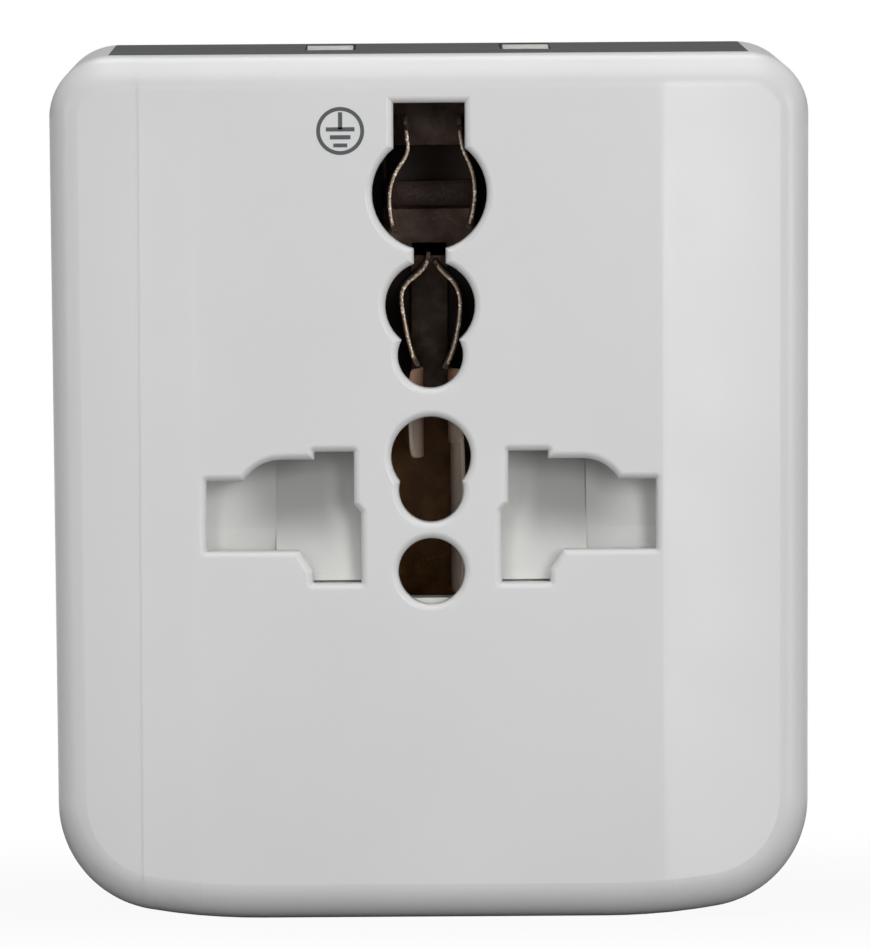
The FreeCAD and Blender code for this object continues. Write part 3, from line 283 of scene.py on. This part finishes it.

# %% [markdown]
# The shutter's inner ramps lie deep in the holes and get a grey painted shade. The outer wings keep their
# plain colour. The painted shade fades out to both sides, upwards and downwards, so it is a product of soft
# steps: two across the ramp and two along it.

# %% Painted shade on the shutter's ramps
INNER_FADE, OUTER_FADE = (5.2 * MM, 7.2 * MM), (9.5 * MM, 13.5 * MM)
FOOT_FADE, HEAD_FADE = (22.8 * MM, 26.6 * MM), (28.5 * MM, 31.5 * MM)
LEFT_AT_FOOT = 0.25
sideways = abs(shutter_white.axis("X"))
upwards = shutter_white.axis("Z")
across = sideways.ramp(*INNER_FADE) * (1.0 - sideways.ramp(*OUTER_FADE))
along = upwards.ramp(*FOOT_FADE, LEFT_AT_FOOT, 1.0) * (1.0 - upwards.ramp(*HEAD_FADE))
# painted shade: a grey laid over the inner ramps, where they lie deep in the holes
painted_ramp_shade = across * along
unshaded_plastic = Wire(shutter_white, shutter_white.shader.inputs["Base Color"].links[0].from_socket)
shutter_white.paint(color=shutter_white.blend(painted_ramp_shade, unshaded_plastic, rgb(188, 189, 186)))

# %% [markdown]
# ## Metals
#
# The contacts are rolled spring bronze, the rails brass, the pins nickel-plated and the screws zinc-plated.
# Rolling and plugging in leave fine lines along the metal, so the noise is drawn out along it.

# %% Finishes of the metals
def metal(name, dull, bright, low, high, stretch):
    """A metal between two colours, with fine lines along the axis whose factor in stretch is small."""
    made = Finish(name, Metallic=1.0)
    line = made.noise(6000, 3.0, stretch)
    stain = made.noise(300, 3.0)
    made.paint(
        color=made.blend(stain.ramp(0.35, 0.7), dull, bright),
        roughness=line.ramp(0.25, 0.75, low, high))
    made.bump(line, 0.01 * MM, 0.3)
    return made


spring_bronze = metal("spring_bronze", rgb(176, 150, 112), rgb(206, 186, 150), 0.24, 0.42, (1, 1, 0.06))
rail_brass = metal("rail_brass", rgb(190, 156, 96), rgb(214, 184, 122), 0.25, 0.42, (1, 0.06, 1))
pin_nickel = metal("pin_nickel", rgb(196, 193, 186), rgb(214, 212, 207), 0.16, 0.32, (1, 0.05, 1))
screw_zinc = metal("screw_zinc", rgb(160, 160, 158), rgb(188, 188, 186), 0.28, 0.45, (1, 1, 1))
CONTACTS = ("live_contact", "neutral_contact", "earth_contact")
RAILS = ("live_rail", "neutral_rail", "earth_rail")
PINS = ("us_left_blade", "us_right_blade", "eu_pins", "uk_pins", "uk_earth_pin")
wear([nodes[name] for name in CONTACTS], spring_bronze)
wear([nodes[name] for name in RAILS], rail_brass)
wear([nodes[name] for name in PINS], pin_nickel)
wear([nodes[name] for name in ("case_screws", "insert_screws")], screw_zinc)

# %% [markdown]
# ## Working in edit mode without a window
#
# The new pieces below are modelled as by hand. An operator acts on all that is selected, so each starts with
# nothing selected, and faces or edges are picked in code by where they are or where they look.

# %% Helpers for modelling
def start_piece(name, add, scale=(1, 1, 1), **options):
    """Add a primitive with one of Blender's operators and name it; its place is put into its mesh."""
    bpy.ops.object.select_all(action="DESELECT")
    add(**options)
    piece = bpy.context.object
    piece.name = piece.data.name = name
    piece.scale = scale
    bpy.ops.object.transform_apply(location=True, rotation=True, scale=True)
    return piece


def pick(piece, kind, wanted):
    """In edit mode, select only the faces or edges that pass a test, and say how many did."""
    bpy.ops.mesh.select_mode(type=kind)
    bpy.ops.mesh.select_all(action="DESELECT")
    mesh = bmesh.from_edit_mesh(piece.data)
    parts = mesh.faces if kind == "FACE" else mesh.edges
    chosen = [part for part in parts if wanted(part)]
    for part in chosen:
        part.select_set(True)
    bmesh.update_edit_mesh(piece.data)
    return len(chosen)


def use_modifier(piece, kind, **settings):
    modifier = piece.modifiers.new(kind.lower(), kind)
    for setting, value in settings.items():
        setattr(modifier, setting, value)
    bpy.context.view_layer.objects.active = piece
    bpy.ops.object.modifier_apply(modifier=modifier.name)


def smooth(piece, degrees):
    bpy.ops.object.select_all(action="DESELECT")
    piece.select_set(True)
    bpy.context.view_layer.objects.active = piece
    bpy.ops.object.shade_smooth_by_angle(angle=math.radians(degrees))


# %% [markdown]
# ## Sliding knobs
#
# A thumb pushes these knobs along their slots, so the real ones have cross ribs on a rounded pad. The CAD
# solid is a plain block on a stem. Each knob is modelled from a box a little lower than the block: its top is
# cut across, every other strip is raised to the block's height, and the edges are rounded. The stem is a
# second box, joined to the first. The knob underneath has a thinner pad and looks downwards.

# %% Model the knobs
RIBS = 7
RIB_HEIGHT = 0.14 * MM
TOP_PAD, UNDER_PAD = 1.14 * MM, 0.79 * MM
STEM_WIDTH = 2.0 * MM
STEM_SHORTER = 0.3 * MM
CARRIAGE_FRONT = -2.6 * MM
CARRIAGE_PLAY = 0.12 * MM
KNOB_EDGE = 0.07 * MM


def ribbed_knob(node, top_up):
    low, high = (Vector(corner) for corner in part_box(node))
    sign = 1 if top_up else -1
    pad_height = TOP_PAD if top_up else UNDER_PAD
    outer = high.z if top_up else low.z
    inner = outer - sign * pad_height
    middle = ((low.x + high.x) / 2, (low.y + high.y) / 2, (outer - sign * RIB_HEIGHT + inner) / 2)
    size = (high.x - low.x, high.y - low.y, pad_height - RIB_HEIGHT)
    knob = start_piece(node + "_ribbed", bpy.ops.mesh.primitive_cube_add, size=1, location=middle,
                       scale=size)
    bpy.ops.object.mode_set(mode="EDIT")
    step = size[1] / (2 * RIBS + 1)
    for cut in range(1, 2 * RIBS + 1):
        bpy.ops.mesh.select_all(action="SELECT")
        bpy.ops.mesh.bisect(plane_co=(0, low.y + cut * step, 0), plane_no=(0, 1, 0))

    def is_rib(face):
        band = int((face.calc_center_median().y - low.y) / step)
        return face.normal.z * sign > 0.9 and band % 2 == 1

    ribs = pick(knob, "FACE", is_rib)
    bpy.ops.mesh.extrude_region_move(TRANSFORM_OT_translate={"value": (0, 0, sign * RIB_HEIGHT)})
    bpy.ops.object.mode_set(mode="OBJECT")
    stem_y = (CARRIAGE_FRONT + CARRIAGE_PLAY, high.y - STEM_SHORTER)
    far = low.z if top_up else high.z
    stem_middle = (middle[0], sum(stem_y) / 2, (inner + far) / 2)
    stem_size = (STEM_WIDTH, stem_y[1] - stem_y[0], abs(inner - far))
    start_piece(node + "_stem", bpy.ops.mesh.primitive_cube_add, size=1, location=stem_middle,
                scale=stem_size)
    knob.select_set(True)
    bpy.context.view_layer.objects.active = knob
    bpy.ops.object.join()
    use_modifier(knob, "BEVEL", width=KNOB_EDGE, segments=3, limit_method="ANGLE", use_clamp_overlap=True)
    smooth(knob, 40)
    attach(knob, node.replace("knob", "slider"))
    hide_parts(node)
    print(node, "has", ribs, "ribs")
    return knob


knob_pieces = [ribbed_knob("us_knob", True), ribbed_knob("eu_knob", True), ribbed_knob("uk_knob", False)]
knob_white = plastic("knob_white", rgb(188, 185, 180), rgb(196, 193, 188), 0.3, 0.4)
wear(knob_pieces, knob_white)

# %% [markdown]
# ## Shutter springs
#
# Two wire coils stand under the shutter and push it up. A coil is a round section, screwed about an upright
# axis, with its two ends closed; the second coil is a copy of the first. The springs are pressed together as
# the shutter goes down.

# %% Model the springs
TURNS, STEPS_A_TURN, SIDES = 8, 24, 10
COIL_RADIUS = 1.5 * MM
WIRE_RADIUS = 0.2 * MM
# the low and the high corner of the springs' box in the CAD model
low, high = (Vector(corner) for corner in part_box("shutter_springs"))
springs = start_piece("shutter_coils", bpy.ops.mesh.primitive_circle_add, vertices=SIDES,
                      radius=WIRE_RADIUS, location=(COIL_RADIUS, 0, 0), rotation=(math.radians(90), 0, 0))
use_modifier(springs, "SCREW", angle=math.tau * TURNS, steps=STEPS_A_TURN * TURNS,
             render_steps=STEPS_A_TURN * TURNS, screw_offset=high.z - low.z - 2 * WIRE_RADIUS)
bpy.ops.object.mode_set(mode="EDIT")
bpy.ops.mesh.select_all(action="SELECT")
bpy.ops.mesh.fill_holes(sides=0)
bpy.ops.mesh.select_all(action="SELECT")
bpy.ops.mesh.normals_make_consistent(inside=False)
axis_x = high.x - COIL_RADIUS - WIRE_RADIUS
bpy.ops.transform.translate(value=(-axis_x, (low.y + high.y) / 2, low.z + WIRE_RADIUS))
bpy.ops.mesh.duplicate_move(TRANSFORM_OT_translate={"value": (2 * axis_x, 0, 0)})
bpy.ops.object.mode_set(mode="OBJECT")
smooth(springs, 60)
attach(springs, "body")
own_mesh(springs)
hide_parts("shutter_springs")
wear([springs], screw_zinc)

# %% [markdown]
# ## Earth contact
#
# Behind the middle column of holes stand three pairs of bronze leaves. An earth pin pushes a pair apart and
# the leaves spring back on it. The upper two pairs are seen edge on, swell round the pin and close above or
# below it; the lowest pair leans inwards, so its faces show. Each upper leaf is one strip: a plane is put on
# the first stretch of its line, and its end is extruded from point to point. A strip gets its thickness at
# the end, which keeps both faces smooth.

# %% Bend a strip along a line of points
LEAF_FRONT = -18.7 * MM
LEAF_REAR = -4.6 * MM
LEAF_DEPTH = LEAF_REAR - LEAF_FRONT
LEAF_MIDDLE = (LEAF_FRONT + LEAF_REAR) / 2
SHEET = 0.25 * MM
LEAF_EDGE = 0.04 * MM
# points closer together than this are one point
SAME = 0.001 * MM


def thicken(piece, levels):
    """Smooth a bent sheet, give it its thickness and take the sharpness off its edges."""
    use_modifier(piece, "SUBSURF", levels=levels, render_levels=levels)
    use_modifier(piece, "SOLIDIFY", thickness=SHEET, offset=0)
    use_modifier(piece, "BEVEL", width=LEAF_EDGE, segments=2, limit_method="ANGLE")


def strip(points):
    """A leaf whose front edge follows points of x and z, in millimetres."""
    line = [Vector((x, 0, z)) * MM for x, z in points]
    first = line[1] - line[0]
    middle = (line[0] + line[1]) / 2 + Vector((0, LEAF_MIDDLE, 0))
    turn = (0, -math.atan2(first.z, first.x), 0)
    piece = start_piece("leaf", bpy.ops.mesh.primitive_plane_add, size=1, location=middle, rotation=turn,
                        scale=(first.length, LEAF_DEPTH, 1))
    bpy.ops.object.mode_set(mode="EDIT")
    reached = line[1]
    for point in line[2:]:
        end = reached
        pick(piece, "EDGE", lambda edge: all((Vector((v.co.x, 0, v.co.z)) - end).length < SAME
                                             for v in edge.verts))
        bpy.ops.mesh.extrude_region_move(TRANSFORM_OT_translate={"value": point - reached})
        reached = point
    bpy.ops.object.mode_set(mode="OBJECT")
    thicken(piece, 2)
    return piece


# %% Model the leaves
UPPER_LEFT = [(-1.54, 51.5), (-1.45, 50.1), (-1.27, 49.1), (-1.75, 48.4), (-2.33, 47.5), (-2.59, 46.5),
              (-2.57, 45.4), (-2.42, 44.4), (-2.2, 43.8)]
UPPER_RIGHT = [(1.95, 51.5), (2.0, 50.1), (2.2, 49.1), (2.6, 48.4), (2.88, 47.5), (2.98, 46.6),
               (2.9, 45.5), (2.65, 44.5), (2.5, 44.0)]
LOWER_LEFT = [(-0.06, 42.5), (-0.12, 41.9), (-0.55, 41.3), (-1.42, 40.7), (-1.8, 40.15), (-1.87, 39.5),
              (-1.68, 38.3), (-1.4, 36.8), (-1.11, 35.8), (-0.72, 35.05)]
LOWER_RIGHT = [(0.3, 42.0), (0.5, 41.7), (0.88, 41.25), (1.58, 40.65), (1.95, 39.9), (1.99, 38.8),
               (1.79, 37.4), (1.5, 36.2), (1.13, 35.4), (0.86, 34.95)]
leaves = [strip(points) for points in (UPPER_LEFT, UPPER_RIGHT, LOWER_LEFT, LOWER_RIGHT)]
print("leaf faces:", [len(leaf.data.polygons) for leaf in leaves])

# %% [markdown]
# The lowest pair is cut from flat blanks instead. Each is an upright plane, divided along its depth, whose
# front rows are drawn outwards by less and less, so that its front lip flares; subdividing it rounds its
# corners off. The right leaf is made in two lengths. The plates that join all leaves at the rear are thin
# boxes with bevelled edges.

# %% Model the leaning pair and the plates behind
# shares of the depth at which a leaf is divided, and how far out each row near its front is drawn
CUTS = (0.06, 0.13, 0.3)
LIP = ((0.0, 1.0), (0.06, 0.5), (0.13, 0.1))
PLATE_EDGE = 0.08 * MM


def leaning(front_x, rear_x, low, high):
    """An upright leaf from low to high that flares from rear_x to front_x at its front, in millimetres."""
    middle = Vector((rear_x * MM, LEAF_MIDDLE, (low + high) / 2 * MM))
    piece = start_piece("leaf", bpy.ops.mesh.primitive_plane_add, size=1, location=middle,
                        rotation=(0, math.radians(90), 0), scale=((high - low) * MM, LEAF_DEPTH, 1))
    bpy.ops.object.mode_set(mode="EDIT")
    for share in CUTS:
        bpy.ops.mesh.select_all(action="SELECT")
        bpy.ops.mesh.bisect(plane_co=(0, LEAF_FRONT + share * LEAF_DEPTH, 0), plane_no=(0, 1, 0))
    for share, reach in LIP:
        row = LEAF_FRONT + share * LEAF_DEPTH
        pick(piece, "EDGE", lambda edge: all(abs(v.co.y - row) < SAME for v in edge.verts))
        bpy.ops.transform.translate(value=((front_x - rear_x) * reach * MM, 0, 0))
    bpy.ops.object.mode_set(mode="OBJECT")
    thicken(piece, 3)
    return piece


def plate(low, high):
    """A thin box between two corners in millimetres, with its edges bevelled."""
    low, high = Vector(low) * MM, Vector(high) * MM
    piece = start_piece("back", bpy.ops.mesh.primitive_cube_add, size=1, location=(low + high) / 2,
                        scale=high - low)
    use_modifier(piece, "BEVEL", width=PLATE_EDGE, segments=2)
    return piece


# each leaning leaf's place across at its front and further back, and its two ends, in millimetres
LEANING = [(2.1, 1.25, 30.2, 35.05), (2.15, 1.4, 20.6, 31.4), (-1.35, -0.55, 29.3, 35.05)]
leaves += [leaning(*numbers) for numbers in LEANING]
# the low and the high corner of each plate, in millimetres
PLATES = [((-3.0, -4.86, 19.9), (3.0, -4.6, 32.0)), ((-1.2, -4.86, 31.5), (1.2, -4.6, 43.0)),
          ((-3.0, -4.86, 42.0), (3.0, -4.6, 45.15)), ((-2.9, -5.1, 45.3), (2.9, -4.84, 47.0)),
          ((-2.9, -5.1, 49.25), (2.9, -4.84, 52.0)), ((-3.0, -4.86, 45.0), (-2.7, -4.6, 52.0))]
leaves += [plate(low, high) for low, high in PLATES]
bpy.ops.object.select_all(action="DESELECT")
for piece in leaves:
    piece.select_set(True)
contact_leaves = leaves[0]
bpy.context.view_layer.objects.active = contact_leaves
bpy.ops.object.join()
contact_leaves.name = contact_leaves.data.name = "earth_contact_leaves"
smooth(contact_leaves, 35)
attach(contact_leaves, "body")
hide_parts("earth_contact")

# %% [markdown]
# Only the front edges of the upper leaves are bright. They are cut edges, a little rough, and plugging in
# rubs them bare; the near-white flecks on them are painted glints. Behind them the bronze is satin, then dull
# and brown. The plates at the rear have stains of their own and are partly darkened by painted shade. So the
# finish changes with depth, and the coppery, stained and shaded parts also with height.

# %% Finish of the earth contact
# depths between which one look gives way to the next
EDGE_ENDS = (LEAF_FRONT + 0.1 * MM, LEAF_FRONT + 1.0 * MM)
SATIN_ENDS = (LEAF_FRONT + 3.0 * MM, LEAF_FRONT + 9.0 * MM)
PLATES_START = (LEAF_REAR - 1.4 * MM, LEAF_REAR - 0.8 * MM)
# heights between which they do
LOWEST_PAIR_ENDS = (34.9 * MM, 35.2 * MM)
COPPERY_STARTS = (32.6 * MM, 33.6 * MM)
SHADE_STARTS, SHADE_ENDS = (45.1 * MM, 45.3 * MM), (46.9 * MM, 47.1 * MM)
ORANGE_ENDS = (31.0 * MM, 34.0 * MM)

leaf_bronze = Finish("leaf_bronze")
depth = leaf_bronze.axis("Y")
height = leaf_bronze.axis("Z")
upper_pairs = height.ramp(*LOWEST_PAIR_ENDS)
cut_edge = (1.0 - depth.ramp(*EDGE_ENDS)) * upper_pairs
handled = 1.0 - depth.ramp(*SATIN_ENDS)
rear_plate = depth.ramp(*PLATES_START)
fleck = leaf_bronze.noise(5200, 3.0)
mottle = leaf_bronze.noise(700, 3.0)
cloudy = mottle.ramp(*SPREAD)
stained = leaf_bronze.blend(cloudy, rgb(74, 55, 42), rgb(98, 76, 60))
coppery = height.ramp(*COPPERY_STARTS) * (1.0 - upper_pairs)
satin = leaf_bronze.blend(coppery, rgb(226, 206, 190), rgb(222, 182, 154))
# rear plates: their own stained browns, partly darkened as painted shade
orange = leaf_bronze.blend(cloudy, rgb(160, 108, 52), rgb(190, 134, 72))
umber = leaf_bronze.blend(cloudy, rgb(128, 102, 84), rgb(180, 150, 130))
shaded = height.ramp(*SHADE_STARTS) * (1.0 - height.ramp(*SHADE_ENDS))
plain_rear = leaf_bronze.blend(height.ramp(*ORANGE_ENDS), orange, umber)
behind = leaf_bronze.blend(shaded, plain_rear, rgb(88, 60, 52))
# painted glints: near-white flecks laid over the bare cut edges
bare_with_glints = leaf_bronze.blend(fleck.ramp(0.53, 0.66), rgb(150, 130, 112), rgb(240, 232, 220))
face = leaf_bronze.blend(rear_plate, leaf_bronze.blend(handled, stained, satin), behind)
leaf_bronze.paint(
    color=leaf_bronze.blend(cut_edge, face, bare_with_glints),
    roughness=fleck.ramp(*SPREAD, 0.3, 0.5),
    metallic=cut_edge.ramp(0.0, 1.0, 0.1, 0.75))
leaf_bronze.bump(fleck, 0.04 * MM, 0.6)
wear([contact_leaves], leaf_bronze)

# %% [markdown]
# ## The earth mark
#
# A small printed mark beside the top hole stands for earth: a ring, and in it an upright line over three bars
# that get shorter. Print has next to no thickness, so the mark is a flat mesh that gets a hundredth of a
# millimetre.

# %% Model the earth mark
MARK_X = -5.7 * MM
MARK_Z = 50.6 * MM
FACE_Y = -27 * MM
RING_OUTER, RING_INNER = 1.54 * MM, 1.29 * MM
INK = 0.012 * MM
ring = start_piece("earth_mark", bpy.ops.mesh.primitive_circle_add, vertices=72, radius=RING_OUTER,
                   location=(MARK_X, FACE_Y, MARK_Z), rotation=(math.radians(90), 0, 0))
bpy.ops.object.mode_set(mode="EDIT")
bpy.ops.mesh.select_all(action="SELECT")
bpy.ops.mesh.extrude_edges_move()
bpy.ops.transform.resize(value=(RING_INNER / RING_OUTER,) * 3, center_override=(MARK_X, FACE_Y, MARK_Z))
bpy.ops.object.mode_set(mode="OBJECT")
# left, right, bottom and top of each stroke, in millimetres from the middle of the ring
STROKES = [(-0.135, 0.135, 0.1, 1.2), (-0.92, 0.92, -0.03, 0.24), (-0.66, 0.66, -0.54, -0.27),
           (-0.45, 0.45, -1.05, -0.8)]
strokes = []
for west, east, bottom, top in STROKES:
    place = (MARK_X + (west + east) / 2 * MM, FACE_Y, MARK_Z + (bottom + top) / 2 * MM)
    strokes.append(start_piece("stroke", bpy.ops.mesh.primitive_plane_add, size=MM, location=place,
                               rotation=(math.radians(90), 0, 0), scale=(east - west, top - bottom, 1)))
bpy.ops.object.select_all(action="DESELECT")
for piece in [ring, *strokes]:
    piece.select_set(True)
bpy.context.view_layer.objects.active = ring
bpy.ops.object.join()
bpy.ops.object.mode_set(mode="EDIT")
bpy.ops.mesh.select_all(action="SELECT")
bpy.ops.mesh.extrude_region_move(TRANSFORM_OT_translate={"value": (0, -INK, 0)})
bpy.ops.mesh.select_all(action="SELECT")
bpy.ops.mesh.normals_make_consistent(inside=False)
bpy.ops.object.mode_set(mode="OBJECT")
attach(ring, "body")
mark_ink = plastic("mark_ink", rgb(56, 62, 67), rgb(62, 68, 73), 0.35, 0.45)
wear([ring], mark_ink)

# %% [markdown]
# ## Studio
#
# A white floor and a white world keep the background pale. The face is glossy, and its two sides are turned
# seven to nine degrees outwards, so they mirror what stands fourteen to eighteen degrees beside the camera. A
# tall soft lamp stands on each side there: the sides come out brighter than the middle, which mirrors the
# dark between the lamps. Two far lamps light the rounded side edges, two more above light the edge at the
# top, and one high up behind lights the rear.
#
# The floor has a plain dull surface, which takes the object's shadow. Where the camera or a reflection looks
# at it, a part of that surface is swapped for plain white paper, more of it further from the object. So the
# floor ends in the white background without an edge, and the object's lower rounding mirrors little of it
# close by.

# %% Floor
floor = start_piece("floor", bpy.ops.mesh.primitive_plane_add, size=8, location=(0, 0, 0))
bpy.ops.object.mode_set(mode="EDIT")
bpy.ops.mesh.subdivide(number_cuts=3)
bpy.ops.object.mode_set(mode="OBJECT")
floor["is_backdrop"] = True
FLOOR_GREY = 0.15
# distances from the object between which a look at the floor meets more and more paper
SEEN_FADE, MIRRORED_FADE = (20 * MM, 100 * MM), (28 * MM, 200 * MM)
PAPER_NEAR = 0.94
floor_white = Finish("floor_white", Roughness=0.9)
floor_white.paint(color=(FLOOR_GREY, FLOOR_GREY, FLOOR_GREY, 1.0))
away = floor_white.add("ShaderNodeVectorMath", {"operation": "LENGTH"}, [floor_white.place], "Value")
paper = floor_white.add("ShaderNodeEmission", {}, {"Strength": 1.0})
seen = floor_white.add("ShaderNodeLightPath", {}, [], "Is Camera Ray")
mirrored = floor_white.add("ShaderNodeLightPath", {}, [], "Is Glossy Ray")
shown = seen * away.ramp(*SEEN_FADE, PAPER_NEAR, 1.0) + mirrored * away.ramp(*MIRRORED_FADE)
dull = Wire(floor_white, floor_white.shader.outputs[0])
surface = floor_white.add("ShaderNodeMixShader", {}, [shown, dull, paper])
floor_white.join(floor_white.tree.nodes["Material Output"].inputs[0], surface)
wear([floor], floor_white)

# %% World
WHITE = (1, 1, 1, 1)
ROOM_LIGHT = 0.25
world = bpy.data.worlds.new("studio")
bpy.context.scene.world = world
world.use_nodes = True
room = world.node_tree
white = room.nodes["Background"]
white.inputs["Color"].default_value = WHITE
white.inputs["Strength"].default_value = 1.0
dim = room.nodes.new("ShaderNodeBackground")
dim.inputs["Color"].default_value = WHITE
dim.inputs["Strength"].default_value = ROOM_LIGHT
path = room.nodes.new("ShaderNodeLightPath")
choose = room.nodes.new("ShaderNodeMixShader")
room.links.new(path.outputs["Is Camera Ray"], choose.inputs[0])
room.links.new(dim.outputs[0], choose.inputs[1])
room.links.new(white.outputs[0], choose.inputs[2])
room.links.new(choose.outputs[0], room.nodes["World Output"].inputs[0])


# %% Lamps
LIT_MIDDLE = Vector((0, -20.0, 30.0)) * MM


def lamp(name, azimuth, elevation, distance, size, radiance):
    """A soft lamp seen from the object at an azimuth, to the right of the camera, and an elevation."""
    around, above = math.radians(azimuth), math.radians(elevation)
    sideways, forwards = math.sin(around) * math.cos(above), -math.cos(around) * math.cos(above)
    toward = Vector((sideways, forwards, math.sin(above)))
    light = bpy.data.lights.new(name, "AREA")
    light.shape = "RECTANGLE"
    light.size, light.size_y = size
    light.energy = radiance * math.pi * size[0] * size[1]
    thing = bpy.data.objects.new(name, light)
    thing.location = LIT_MIDDLE + toward * distance
    thing.rotation_euler = (-toward).to_track_quat("-Z", "Y").to_euler()
    bpy.context.scene.collection.objects.link(thing)
    print(name, "lamp:", round(light.energy, 2), "W")


# name, azimuth and elevation in degrees, distance and size in metres, radiance
LAMPS = [("right", 14, 3, 0.6, (0.11, 0.3), 12.3),
         ("left", -13, 2, 0.6, (0.08, 0.3), 6.8),
         ("far right", 60, 4, 0.7, (0.2, 0.3), 5.2),
         ("far left", -60, 4, 0.7, (0.2, 0.3), 2.7),
         ("top", 6, 62, 0.7, (0.8, 0.6), 1.7),
         ("over", 0, 100, 0.7, (0.45, 0.4), 1.0),
         ("back", 180, 60, 0.9, (0.6, 0.3), 2.2)]
for row in LAMPS:
    lamp(*row)
bpy.context.scene.view_settings.view_transform = "Standard"

# %% Measure the object's bounds
low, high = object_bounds()
